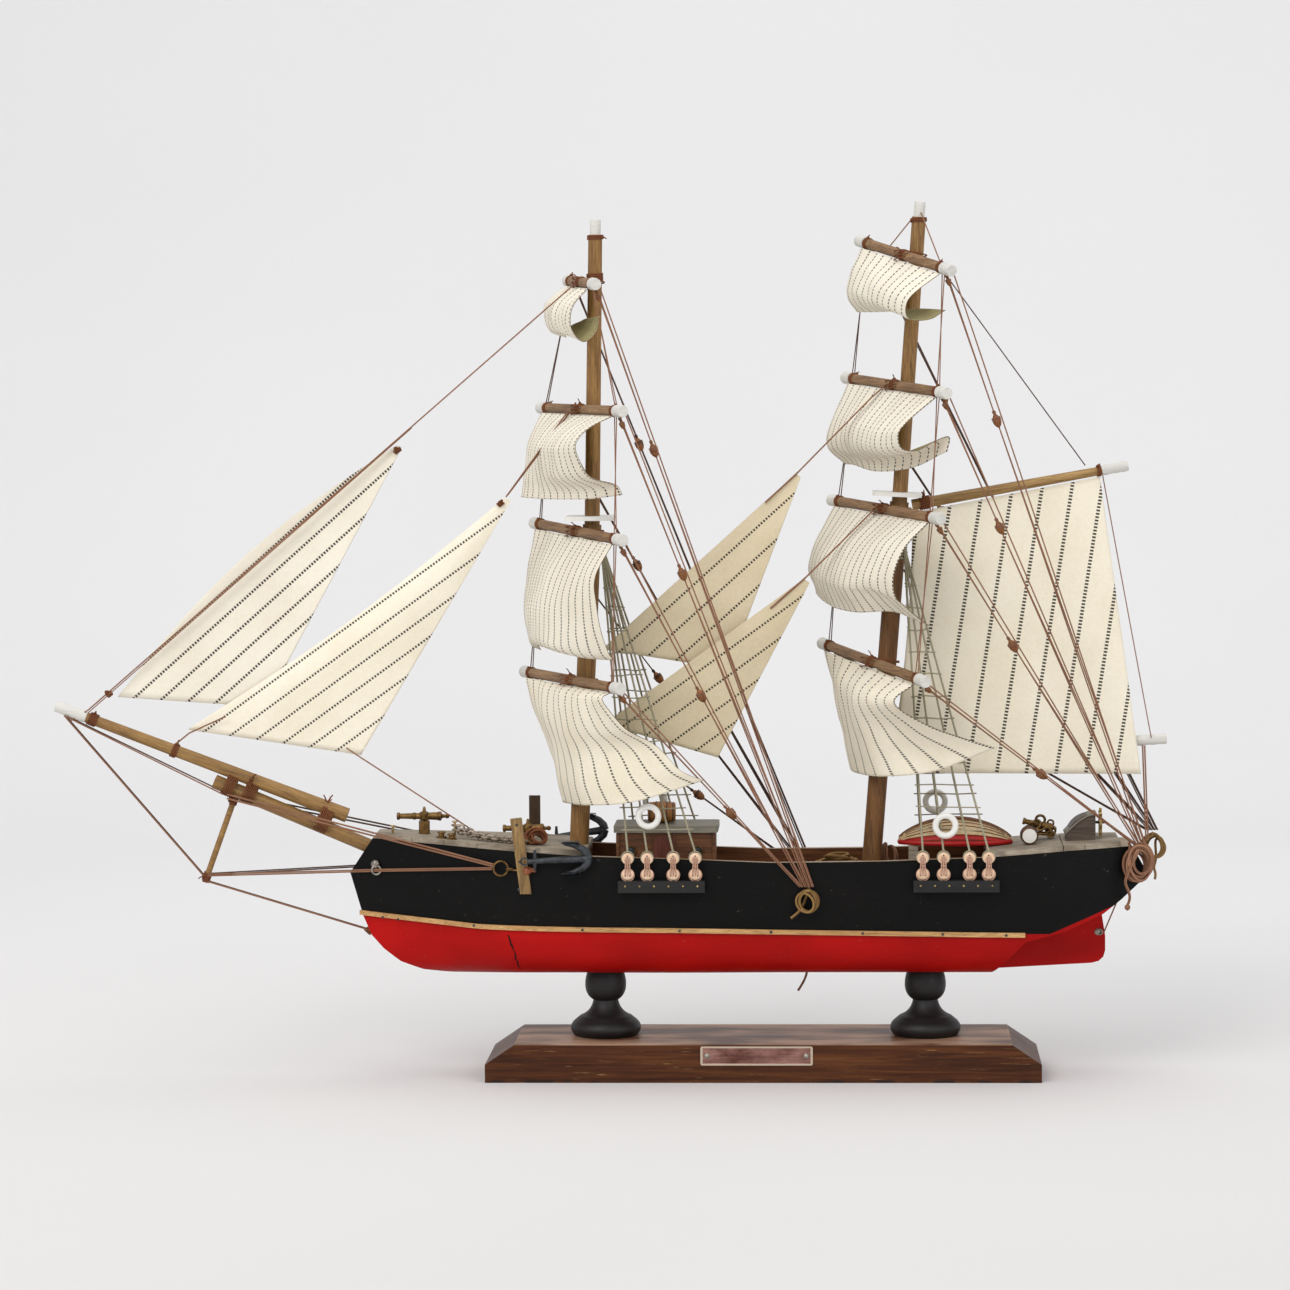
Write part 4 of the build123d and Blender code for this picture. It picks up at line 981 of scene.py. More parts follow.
made = gang.piece("shrouds_and_ratlines", "hull", ["grey_cord"])
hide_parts("shrouds")

eyes_shape = Shape()
lanyards = Shape()
for side in (-1, 1):
    for x in FORE_DEADEYES + MAIN_DEADEYES:
        for z in EYE_HEIGHTS:
            eyes_shape.slot = 0
            eyes_shape.lathe((x, side * (DEADEYE_FACE - 1.0), z), (0, side, 0),
                ((0.0, 1.6), (0.15, 2.1), (0.5, 2.5), (0.9, 2.22), (1.1, 2.22), (1.5, 2.5), (1.85, 2.1), (2.0, 1.5)),
                22)
            eyes_shape.slot = 1
            # The three holes are dark iron domes: painted shade in each hole.
            for turn in (90, 210, 330):
                across, up = math.cos(math.radians(turn)), math.sin(math.radians(turn))
                hole = Vector((x + 1.15 * across, side * (DEADEYE_FACE + 1.0), z + 1.15 * up))
                nail(eyes_shape, hole, (0, side, 0), 0.34, 0.12)
        for shift in (-1.0, 0.0, 1.0):
            lean = 0.25 * shift
            lanyards.tube(((x + shift + lean, side * (DEADEYE_FACE + 1.1), 89.6),
                (x + shift * 0.9, side * (DEADEYE_FACE + 1.5), 93.5),
                (x + shift - lean, side * (DEADEYE_FACE + 1.1), 97.6)), 0.3, 6)
        lanyards.ring((x, side * (DEADEYE_FACE + 0.2), 89.9), (0, 1, 0), 2.7, 20, 0.26)
        lanyards.tube(((x, side * (DEADEYE_FACE + 0.4), 93.2), (x + 0.3, side * (DEADEYE_FACE + 1.9), 93.5),
            (x - 0.3, side * (DEADEYE_FACE + 0.6), 94.0)), 0.5, 6)
made = eyes_shape.piece("turned_deadeyes", "hull", ["cream_bead", "dark_iron"])
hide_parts("deadeyes")
lanyards.piece("deadeye_lanyards", "hull", ["pink_cord"])

# ---------------------------------------------------------------- lifebuoys

buoys = Shape()
for place in ((-47.8, -32.6, 115.0), (78.2, -32.6, 110.8), (75.2, 32.6, 114.4), (-47.8, 32.6, 115.0)):
    buoys.ring(place, (0, 1, 0), 4.25, 40, 1.32, 16)
made = buoys.piece("ring_lifebuoys", "hull", ["white_paint"])
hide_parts("lifebuoys")

# --------------------------------------------------------- bow and head lines

JIB_TIP = (-303.0, 0.0, 156.4)
STRIKER_FOOT = (-242.0, 0.0, 85.0)
CAP = (-232.0, 0.0, 121.2)
HAWSE = (-167.2, 9.8, 92.2)
BOW_RING = (-111.3, 27.2, 92.4)
STEM_EYE = (-170.8, 0.0, 62.4)
LINE_STEPS = 6


def line(shape, *points, radius=0.32):
    """A taut line, divided so that its twist shows."""
    run = []
    for start, end in pairwise(points):
        run.extend(between(start, end, step / LINE_STEPS) for step in range(LINE_STEPS))
    run.append(Vector(points[-1]))
    shape.tube(run, radius, 7)


STAY_START = Vector((-292.4, -1.3, 158.8))
# Single lines on or near the middle plane: the radius, then the points.
MIDDLE_LINES = (
    (0.32, (-300.0, -1.6, 154.2), STAY_START, (-80.6, -1.3, 340.2), (-75.8, -2.6, 344.0)),
    (0.24, STAY_START + Vector((0, -0.6, -1.2)), (-150.0, -1.5, 280.2)),
    (0.34, (-254.4, -1.6, 143.8), (-248.4, -1.6, 148.6), (-232.0, -3.6, 156.0)),
    (0.4, (-109.0, -1.0, 251.0), (-81.6, -1.0, 286.6), (-79.0, -2.0, 290.6)),
    (0.34, (-109.6, -1.6, 250.2), (-82.4, -1.9, 287.0)),
    (0.32, (-180.0, -1.6, 142.0), (-175.0, -1.8, 138.6), (-122.4, -3.0, 104.2)),
    (0.36, (164.2 - 0.45, 2.6, 141.4), (165.2 - 0.45, -4.0, 101.0)),
    (0.36, (164.2 + 0.45, 2.6, 141.4), (165.2 + 0.45, -4.0, 101.0)),
    (0.4, (2.0, 1.6, 247.0), (16.2, 2.0, 260.0)),
    (0.4, (4.0, -3.4, 201.6), (19.4, -2.6, 215.0)),
    (0.24, (146.4, 2.6, 259.4), (167.4, 2.0, 144.8)),
    (0.32, (155.4, -13.0, 84.6), (147.0, -2.4, 61.6)),
)
rig = Shape()
for side in (-1, 1):
    # Lines on the far side take the darker cord: painted shade.
    rig.slot = 0 if side < 0 else 1
    tip = Vector((JIB_TIP[0], side * 1.4, JIB_TIP[2]))
    line(rig, tip, (STRIKER_FOOT[0], side * 1.2, STRIKER_FOOT[2]))
    line(rig, tip, (CAP[0] - 2, side * 3.4, CAP[2] + 1))
    line(rig, (STRIKER_FOOT[0], side * 1.2, STRIKER_FOOT[2] - 1), (STEM_EYE[0], side * 1.2, STEM_EYE[2]))
    ring_end = Vector((BOW_RING[0], side * (BOW_RING[1] + 1.0), BOW_RING[2]))
    cap = Vector((CAP[0], side * 3.6, CAP[2]))
    for rise in (-0.9, 0.9):
        line(rig, cap + Vector((0, 0, rise)), ring_end + Vector((-3.0, side * 0.4, 1.4 + rise * 0.5)), radius=0.4)
    hawse = Vector((HAWSE[0], side * (HAWSE[1] + 0.6), HAWSE[2] - 2.6))
    for rise in (-0.35, 0.35):
        line(rig, (STRIKER_FOOT[0], side * 1.4, STRIKER_FOOT[2] + 1.6 + rise), hawse + Vector((0, 0, rise)))
        line(rig, hawse + Vector((0, 0, rise)), ring_end + Vector((-3.6, 0, rise)))
rig.slot = 0
for radius, *points in MIDDLE_LINES:
    line(rig, *points, radius=radius)
made = rig.piece("head_and_tail_lines", "hull", ["brown_cord", "dark_cord"])
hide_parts("standing_rigging")

SPRIT_AXIS = (-77.8, 0, 32.9)
STRIKER_AXIS = (-14.3, 0, -39)
STAY_AXIS = (0.78, 0, 0.62)
BINDINGS = (
    ((-222.5, 0, 126.0), SPRIT_AXIS, 3.2, 2, 0.42, 3, 4, 7.0),
    ((-190.2, 0, 114.4), SPRIT_AXIS, 3.3, 3, 0.42, 3, 5, 6.0),
    ((-290.6, 0, 154.5), SPRIT_AXIS, 2.4, 6, 0.34, 2, 6, 4.0),
    ((-255.0, 0, 140.9), SPRIT_AXIS, 2.7, 4, 0.34, 2, 19, 5.0),
    (mast_at("fore", 361.2), (0, 0, 1), 3.1, 3, 0.34, 1, 20, 3.0),
    (mast_at("main", 367.4), (0, 0, 1), 3.1, 3, 0.34, 1, 21, 3.0),
    ((-241.8, 0, 85.6), STRIKER_AXIS, 1.3, 6, 0.36, 2, 7, 4.0),
    ((-229.6, 0, 119.2), STRIKER_AXIS, 1.3, 5, 0.4, 2, 17, 4.0),
    ((-171.2, 0, 62.2), (1, 0, -1), 0.9, 4, 0.4, 3, 8, 4.0),
    (between(gaff_ends[0], gaff_ends[1], 0.13), gaff_ends[1] - gaff_ends[0], 1.9, 3, 0.36, 2, 9, 3.0),
    (between(gaff_ends[1], gaff_ends[0], 0.06), gaff_ends[1] - gaff_ends[0], 2.4, 6, 0.4, 3, 10, 5.0),
    (between(boom_ends[0], boom_ends[1], 0.12), boom_ends[1] - boom_ends[0], 2.0, 3, 0.36, 2, 11, 3.0),
    (mast_at("fore", 343.9), (0, 0, 1), 3.1, 5, 0.4, 3, 12, 5.0),
    ((-156.4, -0.6, 270.4), STAY_AXIS, 0.5, 4, 0.4, 2, 14, 4.0),
    ((-112.0, -0.8, 247.4), STAY_AXIS, 0.6, 4, 0.36, 2, 15, 4.0),
    ((-283.2, -0.8, 165.6), STAY_AXIS, 0.6, 3, 0.42, 2, 16, 3.0),
)
binding = Shape()
SPRIT_BANDS = (((-222.5, 0, 122.4), 4.8, 7), ((-190.0, 0, 110.6), 5.8, 7), ((-231.0, 0, 125.8), 5.0, 6))
for centre, radius, turns in SPRIT_BANDS:
    binding.tube(winding(centre, SPRIT_AXIS, radius, turns, 0.8, 20), 0.3, 6)
for values in BINDINGS:
    lash(binding, *values)
binding.piece("spar_bindings", "hull", ["red_cord"])

# ------------------------------------------------------ lifts, braces, blocks

BLOCK_PLACES = {"fore": (0.59, 0.42, 0.318, 0.257), "main": (0.53, 0.359, 0.273, 0.243)}
HANKS = {
    ("fore", -1): (19.2, -31.6, 78.7),
    ("fore", 1): (19.2, 31.6, 78.7),
    ("main", -1): (161.0, -20.4, 94.0),
    ("main", 1): (168.2, 9.0, 97.0),
}
NODE_OF_BRACES = {"fore": "fore_braces", "main": "main_braces"}

for mast in MAST_NAMES:
    lifts = Shape()
    for upper, lower in zip(SQUARE_NAMES[1:], SQUARE_NAMES):
        for side in (0, 1):
            high, low = YARDS[mast, upper], YARDS[mast, lower]
            # The far side's lifts take the darker cord: painted shade.
            lifts.slot = side
            for a, b in ((7.2, 9.6), (9.6, 7.2)):
                top = between(high[side], high[1 - side], a / 100)
                bottom = between(low[side], low[1 - side], b / 105)
                line(lifts, top - Vector((0, 0, 2.4)), bottom + Vector((0, 0, 2.4)), radius=0.24)
    if mast == "main":
        for side, share in ((0, 0.35), (1, 0.12)):
            end = between(YARDS["main", "royal"][side], YARDS["main", "royal"][1 - side], share)
            line(lifts, mast_at("main", 372.0), end + Vector((0, 0, 2.4)), radius=0.28)
    lifts.piece(f"{mast}_lifts", f"{mast}_yards", ["dark_cord", "brown_cord"])
    for side in (-1, 1):
        for order, level in enumerate(SQUARE_NAMES):
            starboard, port = YARDS[mast, level]
            end, other = (port, starboard) if side < 0 else (starboard, port)
            tip = between(end, other, 8.2 / (end - other).length) + Vector((1.6, 0, -2.4))
            second = between(end, other, 3.0 / (end - other).length) + Vector((2.4, 0, -1.6))
            gap, reach = (1.5 * order - 2.2, 6.0) if mast == "fore" else (1.2 * order - 1.8, 7.2)
            foot = Vector(HANKS[mast, side]) + Vector((gap, 0, reach))
            brace = Shape()
            block = between(tip, foot, BLOCK_PLACES[mast][order])
            line(brace, tip, block, radius=0.3)
            line(brace, tip + Vector((0.5, 0.5, 0)), block, radius=0.26)
            under = teardrop(brace, block, foot, 6.4, 1.9)
            line(brace, under, foot + Vector((-0.7, 0, 0)), radius=0.3)
            line(brace, under, foot + Vector((0.7, -side * 0.6, 0)), radius=0.3)
            line(brace, second, foot + Vector((0.2, side * 0.5, 0)), radius=0.3)
            teardrop(brace, tip + (foot - tip).normalized() * 1.6, foot, 4.2, 1.15)
            # Starboard braces, on the far side, take the darker cord: painted shade.
            looks = ["brown_cord", "block_wood"] if side < 0 else ["dark_cord", "block_wood"]
            name = f"{mast}_{level}_brace_{'port' if side < 0 else 'starboard'}"
            made = brace.piece(name, None, looks)
            tuple(second * MM)
            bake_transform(made)
            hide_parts(NODE_OF_BRACES[mast])

HALYARDS = (("topgallant", (16.2, 2.4, 260.0), (47.8, 2.4, 291.8), (57.6, 1.4, 300.1)),
    ("topsail", (19.4, -2.4, 215.0), (46.6, -2.4, 241.8), (51.4, -2.4, 246.6)))
for name, start, bend, end in HALYARDS:
    halyard = Shape()
    for shift in (-0.45, 0.45):
        aside = Vector((0, shift, 0))
        line(halyard, Vector(start) + aside, Vector(bend) + aside, Vector(end) + aside, radius=0.34)
    made = halyard.piece(f"main_{name}_halyard", None, ["brown_cord"])
    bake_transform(made)

peak_line = Shape()
royal_port = between(YARDS["main", "royal"][1], YARDS["main", "royal"][0], 0.11)
peak_start = Vector((139.0, -1.0, 262.2))
line(peak_line, peak_start, royal_port + Vector((1.4, 0, -2.2)), radius=0.26)
made = peak_line.piece("gaff_peak_line", None, ["dark_cord"])
tuple(royal_port * MM)
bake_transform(made)

# ------------------------------------------------------------- nails, rings

CHANNEL_EDGE, CHANNEL_Z = 33.2, 85.2
metalwork = Shape()
for x in (-23.7, 18.7):
    nail(metalwork, (x, -28.6, 11.7), (0, -1, 0), 1.3, 0.9)
for side in (-1, 1):
    hawse = Vector((HAWSE[0], side * HAWSE[1], HAWSE[2]))
    nail(metalwork, hawse, (-0.3, side, 0), 1.9, 1.3)
    metalwork.ring(hawse + Vector((0.6, side * 0.9, -2.4)), (0.1, side, 0.1), 1.9, 20, 0.42, 8)
    metalwork.slot = 1
    ring_middle = Vector((BOW_RING[0], side * (BOW_RING[1] + 0.8), BOW_RING[2]))
    metalwork.ring(ring_middle, (0.1, side, 0.05), 3.1, 28, 0.42, 8)
    metalwork.ring(ring_middle + Vector((4.0, 0, -0.4)), (0, 0.3, 1), 1.5, 18, 0.4, 8)
    bead = ring_middle + Vector((9.6, side * 0.9, -1.0))
    metalwork.tube((ring_middle + Vector((5.0, side * 0.4, -0.6)), bead), 0.4, 8)
    metalwork.slot = 4
    metalwork.lathe(bead, (1, 0, 0.1),
        ((0, 0.5), (0.8, 1.6), (2.2, 2.0), (3.4, 1.3), (4.2, 0.9), (5.0, 1.4), (5.6, 0.8)), 16)
    metalwork.slot = 0
metalwork.slot = 2
STRIP_NAILS = ((-163.8, 69.6), (-157.0, 68.9), (-123.5, 67.3), (-76.5, 66.1), (-35.0, 65.6), (4.0, 65.0),
    (43.0, 64.4), (77.0, 63.9), (104.0, 63.3))
for (x, z), side in product(STRIP_NAILS, (-1, 1)):
    breadth = 29.0 if x > -100 else 29.0 - (-100 - x) * 0.245
    breadth = breadth - max(0.0, x - 70) * 0.03
    nail(metalwork, (x, side * breadth, z), (0, side, 0), 0.55, 0.3)
for x, z in ((-103.0, 95.4), (-103.6, 83.4), (-104.2, 111.2)):
    nail(metalwork, (x, -29.2, z), (0, -1, 0), 0.6, 0.3)
metalwork.slot = 3
for start, end in ((-61.0, -24.0), (64.6, 101.0)):
    for step in range(6):
        for side in (-1, 1):
            x = start + (end - start) * (step + 0.5) / 6
            nail(metalwork, (x, side * CHANNEL_EDGE, CHANNEL_Z), (0, side, 0), 0.45, 0.3)
for x, y, z, height in ((-132.4, -10, 103.6, 7.4), (-159.8, -5, 105.0, 3.6), (-98.0, 12, 101.6, 4.0)):
    metalwork.lathe((x, y, z), (0, 0, 1), ((0, 0.5), (height - 0.8, 0.5), (height - 0.5, 1.4), (height, 1.0)), 12)
metalwork.slot = 1
BOLLARD = ((-0.4, 2.3), (0.5, 2.3), (0.8, 1.3), (1.8, 1.2), (2.1, 1.9), (2.7, 1.6))
for place in ((-138.0, -12.5, 104.0), (-133.4, -14.5, 103.4)):
    metalwork.lathe(place, (0, 0, 1), BOLLARD, 16)
metalwork.slot = 0
metalwork.ring((145.0, -2.4, 61.4), (0.2, 1, 0.1), 1.2, 14, 0.35)
nail(metalwork, (144.2, -1.8, 61.4), (0, -1, 0), 1.5, 0.6)
made = metalwork.piece("nails_rings_and_hooks", "hull", ["steel_nail", "bronze", "dark_iron", "brass", "copper"])
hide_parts("nails_and_rings")

chain = Shape()
LINK_PITCH = 2.1
CHAIN_RUNS = (
    ((-132.0, -9.6, 108.8), (-103.0, -17.0, 103.9), 3.4),
    ((-131.6, -11.0, 107.0), (-102.0, -19.6, 103.3), 2.0),
)
for start, end, sag in CHAIN_RUNS:
    direction = Vector(end) - Vector(start)
    run = direction.normalized()
    count = int(direction.length / LINK_PITCH)
    for step in range(count + 1):
        share = step / count
        spot = between(start, end, share) - Vector((0, 0, sag * math.sin(math.pi * share) * 0.6))
        spot.z = max(spot.z, 104.3 - 0.08 * (spot.x + 132) * 0.4)
        flat_axis = direction.cross(Vector((0, 0, 1))) if step % 2 else Vector((0, 0, 1))
        side_axis = flat_axis.normalized().cross(run)
        turns = [2 * math.pi * k / 14 for k in range(14)]
        oval = [spot + run * math.cos(turn) * 1.75 + side_axis * math.sin(turn) * 1.25 for turn in turns]
        chain.tube(oval, 0.46, 6, closed=True)
chain.piece("anchor_chain", "hull", ["chain_steel"])

# -------------------------------------------------------- guns, casks, boat

# A gun barrel behind its muzzle: (share of the length, radius) pairs.
BARREL = ((0.3, 1.3), (0.31, 1.55), (0.36, 1.55), (0.37, 1.3), (0.78, 1.75), (0.79, 2.0), (0.84, 2.0), (0.86, 0.9),
    (0.92, 0.7), (0.94, 1.1), (0.98, 0.9), (1.0, 0.3))


def swivel_gun(name, place, post_top, length):
    """A cross-shaped bronze gun on its post."""
    height = post_top + 2.0
    front = place[0] - length * 0.52
    gun = Shape()
    barrel = [(length * share, radius) for share, radius in BARREL]
    gun.lathe((front, place[1], height), (1, 0, 0), ((0, 1.1), (0.2, 1.6), (1.2, 1.6), (1.5, 1.15), *barrel), 20)
    gun.lathe((place[0], -4.2, height), (0, 1, 0),
        ((0, 0.9), (0.3, 1.2), (3.0, 1.2), (5.4, 1.2), (8.1, 1.2), (8.4, 0.9)), 14)
    gun.lathe((place[0], place[1], post_top + 0.3), (0, 0, 1),
        ((0, 1.9), (0.5, 2.3), (3.0, 2.3), (3.5, 1.7), (3.9, 0.8), (5.4, 0.6), (5.9, 0.2)), 16)
    made = gun.piece(f"{name}_barrel", name, ["bronze"])
    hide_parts(name)


swivel_gun("fore_gun", (-146.6, 0.0), 110.0, 23.0)
swivel_gun("aft_gun", (-101.6, 0.0), 104.6, 21.0)

cask_shape = Shape()
CASKS = (((-49.4, 0, 113.5), (-37.6, 0, 113.5), 9.4, 0), ((114.6, -12.4, 104.1), (114.6, -3.6, 104.1), 7.6, 1))
for start, end, diameter, head in CASKS:
    axis = Vector(end) - Vector(start)
    length = axis.length
    radius = diameter / 2
    cask_shape.slot = 0
    profile = ((0.5, 0.7), (0.5, 0.8), (0, 0.82), (0, 0.87), (length * 0.25, 0.96), (length * 0.5, 1.0),
        (length * 0.75, 0.96), (length, 0.87), (length, 0.82), (length - 0.5, 0.8), (length - 0.5, 0.6))
    cask_shape.lathe(start, axis, [(place, radius * share) for place, share in profile], 32)
    cask_shape.slot = 1
    for share in (0.08, 0.3, 0.7, 0.92):
        bulge = radius * (0.87 + 0.13 * math.sin(math.pi * share))
        cask_shape.ring(between(start, end, share), axis, bulge + 0.02, 32, 0.2)
    cask_shape.slot = 2 if head else 0
    cask_shape.lathe(start, axis, ((0.12, radius * 0.8), (0.6, radius * 0.8)), 24)
made = cask_shape.piece("staved_casks", "hull", ["cask_wood", "dark_iron", "white_paint"])
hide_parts("casks")

BOAT_START, BOAT_END = 58.6, 107.4
BOAT_RIM = 99.8
STRAKES = 7


def fullness(share):
    """The boat's breadth at a share of its length, 1 in the middle."""
    return math.sin(math.pi * (0.02 + share * 0.96)) ** 0.62


boat = Shape()
for side in (-1, 1):
    for strake in range(STRAKES):
        rows = []
        for step in range(41):
            share = step / 40
            x = BOAT_START + (BOAT_END - BOAT_START) * share
            radius = 10.4 * fullness(share)
            row = []
            for part in (0.0, 0.12, 0.95, 1.0):
                angle = (strake + part) / STRAKES * math.pi / 2
                lap = 0.42 * (1 - part) if part else 0.0
                row.append((x, side * (radius + lap) * math.cos(angle), BOAT_RIM + (radius + lap) * math.sin(angle)))
            rows.append(row if side > 0 else row[::-1])
        boat.slot = 1 if strake < 2 else 0
        boat.skin(rows)
boat.slot = 2
keel = []
for step in range(29):
    share = step / 28
    x = BOAT_START + 0.6 + (BOAT_END - BOAT_START - 1.2) * share
    keel.append((x, 0, BOAT_RIM + 0.6 + 10.2 * fullness(share)))
boat.tube(keel, 0.85, 8)
boat.slot = 1
rail = []
for step in range(64):
    angle = 2 * math.pi * step / 64
    share = 0.5 - 0.5 * math.cos(angle)
    x = BOAT_START + 0.6 + (BOAT_END - BOAT_START - 1.2) * share
    y = math.copysign(10.3 * fullness(share), math.sin(angle)) if 0 < step != 32 else 0.0
    rail.append((x, y, BOAT_RIM + 0.7))
boat.tube(rail, 1.1, 10, closed=True)
boat.slot = 2
for side in (-1, 1):
    for strake in range(1, STRAKES):
        angle = strake / STRAKES * math.pi / 2
        seam = []
        for step in range(2, 31):
            share = step / 32
            girth = 10.7 * fullness(share)
            x = BOAT_START + (BOAT_END - BOAT_START) * share
            seam.append((x, side * girth * math.cos(angle), BOAT_RIM + girth * math.sin(angle)))
        boat.tube(seam, 0.17, 5)
made = boat.piece("planked_lifeboat", "hull", ["boat_wood", "red_paint", "brown_wood"], sharp=30.0)
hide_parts("lifeboat")

ARM = ((0, 0), (0.6, 2.2), (2.6, 4.2), (6.0, 5.8), (11.4, 6.6))
PALM = ((3.2, 2.8, 1.0), (-2.6, 2.3, 1.1), (-6.0, 0.3, 1.3), (-2.4, 2.3, -0.6), (3.2, 2.8, -0.6), (3.2, 2.8, 1.0))
anchor_shape = Shape()
for ring_end, crown in (((-99.4, -31.4, 95.7), (-73.4, -31.4, 97.0)), ((-94.4, 31.4, 99.0), (-70.0, 31.4, 102.4))):
    start, end = Vector(ring_end), Vector(crown)
    anchor_shape.tube([between(start, end, step / 5) for step in range(6)], (1.0, 1.2, 1.35, 1.45, 1.6, 1.8), 10)
    anchor_shape.ring(start - Vector((1.4, 0, 0)), (0, 1, 0.2), 1.6, 18, 0.4, 7)
    stock = [start + Vector((3, 0, rise)) for rise in (5.0, 0, -4.0)]
    anchor_shape.tube(stock, (0.55, 0.9, 0.55), 8)
    for side in (-1, 1):
        arm = [end + Vector((-back, 0, side * rise)) for back, rise in ARM]
        anchor_shape.tube(arm, (1.8, 1.75, 1.6, 1.4, 0.4), 10)
        palm = arm[3] + Vector((-1.2, 0, side * 0.4))
        anchor_shape.skin([[palm + Vector((x, -y, side * z)), palm + Vector((x, y, side * z))] for x, y, z in PALM])
made = anchor_shape.piece("forged_anchors", "hull", ["dark_iron"])
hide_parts("anchors")

cannon = Shape()
CANNON_Y = 6.5
cannon.lathe((112.4, CANNON_Y, 108.6), (14.0, 0, -3.4),
    ((0, 0.9), (0.1, 1.5), (1.0, 1.5), (1.3, 1.1), (5, 1.3), (5.2, 1.6), (6, 1.6), (6.2, 1.35), (12, 1.9),
    (13.2, 1.7), (13.8, 0.7), (14.6, 0.9), (15.0, 0.2)), 18)
cannon.ring((120.0, CANNON_Y, 109.0), (0, 1, 0.1), 1.95, 20, 0.6, 9)
cannon.ring((124.4, CANNON_Y, 107.6), (0.2, 1, 0), 1.3, 16, 0.45, 8)
for side in (-1, 1):
    y = CANNON_Y + side * 2.6
    cannon.tube(((114.6, y, 103.0), (117.0, y, 105.6), (120.0, y, 104.6), (123.0, y, 106.2), (126.0, y, 102.6)),
        0.65, 8)
    cannon.tube(((114.8, y, 102.6), (120.0, y, 103.2), (126.0, y, 102.6)), 0.6, 8)
    for x in (116.2, 124.2):
        cannon.ring((x, CANNON_Y + side * 3.3, 103.0), (0, 1, 0), 1.4, 18, 0.34, 7)
        for turn in range(3):
            angle = math.pi * turn / 3
            reach = Vector((math.cos(angle), 0, math.sin(angle))) * 1.35
            hub = Vector((x, CANNON_Y + side * 3.3, 103.0))
            cannon.tube((hub - reach, hub + reach), 0.22, 6)
for x in (116.2, 124.2):
    cannon.tube(((x, CANNON_Y - 3.5, 103.0), (x, CANNON_Y + 3.5, 103.0)), 0.4, 8)
dice = random.Random(31)
for _ in range(7):
    middle = (dice.uniform(114.5, 125.0), CANNON_Y + dice.uniform(-2.4, 2.4), dice.uniform(103.6, 108.0))
    tilt = (dice.uniform(-0.5, 0.5), 1, dice.uniform(-0.6, 0.6))
    cannon.ring(middle, tilt, dice.uniform(1.2, 2.2), 18, 0.5, 8)
made = cannon.piece("cast_cannon", "hull", ["bronze"])
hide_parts("deck_cannon")

house_trim = Shape()
for x in (-56.4, -27.6):
    house_trim.slot = 0
    house_trim.ring((x, -12.9, 98.0), (0, 1, 0), 2.0, 22, 0.42, 8)
    house_trim.slot = 1
    house_trim.lathe((x, -12.7, 98.0), (0, -1, 0), ((0, 1.9), (0.12, 1.7), (0.3, 0.3)), 18)
house_trim.slot = 2
house_trim.block((-46.4, -13.1, 88.0), (-37.6, -12.5, 104.2))
house_trim.slot = 0
nail(house_trim, (-39.4, -13.1, 95.0), (0, -1, 0), 0.6, 0.5)
house_trim.slot = 3
for x in (-62.0, -20.6):
    house_trim.block((x - 0.7, -12.9, 88.0), (x + 0.7, -11.6, 105.7))
house_trim.piece("deckhouse_fittings", "hull", ["bronze", "dark_iron", "door_red", "brown_wood"],
    bevel=0.15)

hood_roof = Shape()
rows = []
for step in range(15):
    share = step / 14
    x = 130.0 + 13.6 * share
    z = 101.4 + 12.0 * math.sin(math.radians(14 + 76 * share)) ** 0.9 - 0.6
    rows.append([(x, -7.6, z), (x, 7.6, z)])
hood_roof.skin(rows)
made = hood_roof.piece("hood_roof", "hull", ["roof_grey"])
settle(made.modifiers.new("Board", "SOLIDIFY"), thickness=0.7 * MM, offset=0.0)

# --------------------------------------------------- free cords: hanks, coils

TURN_POINTS = 14


def coil_route(centre, axis, radii, spacing, start, seed, lead=(), tail=(), squeeze=1.0, rest=-100.0, loose=0.9):
    """Control points of loose turns: a radius for each turn, laid side by side, no lower than rest."""
    dice = random.Random(seed)
    direction = Vector(axis).normalized()
    side = direction.cross(Vector((0, 0, 1))).normalized()
    up = side.cross(direction)
    points = [Vector(point) for point in lead]
    drift = [Vector((dice.uniform(-loose, loose), 0, dice.uniform(-loose, loose))) for _ in range(len(radii) + 1)]
    waves = [dice.choice((-1, 1)) * dice.uniform(0.8, 1.7) for _ in radii]
    for step in range(len(radii) * TURN_POINTS + 1):
        share = step / TURN_POINTS
        number = min(int(share), len(radii) - 1)
        part = share - number
        after = min(number + 1, len(radii) - 1)
        radius = radii[number] + (radii[after] - radii[number]) * part
        shift = drift[number].lerp(drift[number + 1], part)
        turn = math.radians(start) + 2 * math.pi * share
        offset = (share - len(radii) / 2) * spacing + waves[number] * math.sin(2 * math.pi * part)
        around = side * math.cos(turn) * radius
        points.append(Vector(centre) + direction * offset + shift + around + up * math.sin(turn) * radius * squeeze)
        points[-1].z = max(points[-1].z, rest)
    points.extend(Vector(point) for point in tail)
    return points


def rope(name, points, diameter, look):
    """A free cord as one smooth spline with round thickness."""
    curve = settle(bpy.data.curves.new(name, "CURVE"), dimensions="3D", bevel_depth=diameter / 2 * MM,
        bevel_resolution=3, resolution_u=5, use_fill_caps=True)
    spline = curve.splines.new("NURBS")
    spline.points.add(len(points) - 1)
    for control, point in zip(spline.points, points):
        control.co = (*(point * MM), 1.0)
    settle(spline, order_u=3, use_endpoint_u=True)
    curve.materials.append(LOOKS[look])
    made = add_object(name, curve)
    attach(made, "hull")
    return made


def declare(made, points, diameter):
    bare = made.data.copy()
    bare.bevel_depth = 0.0
    probe = bpy.data.objects.new("probe", bare)
    mesh = bpy.data.meshes.new_from_object(probe)
    bpy.data.objects.remove(probe)
    bpy.data.meshes.remove(mesh)
    tuple(points[0] * MM)
    diameter * MM


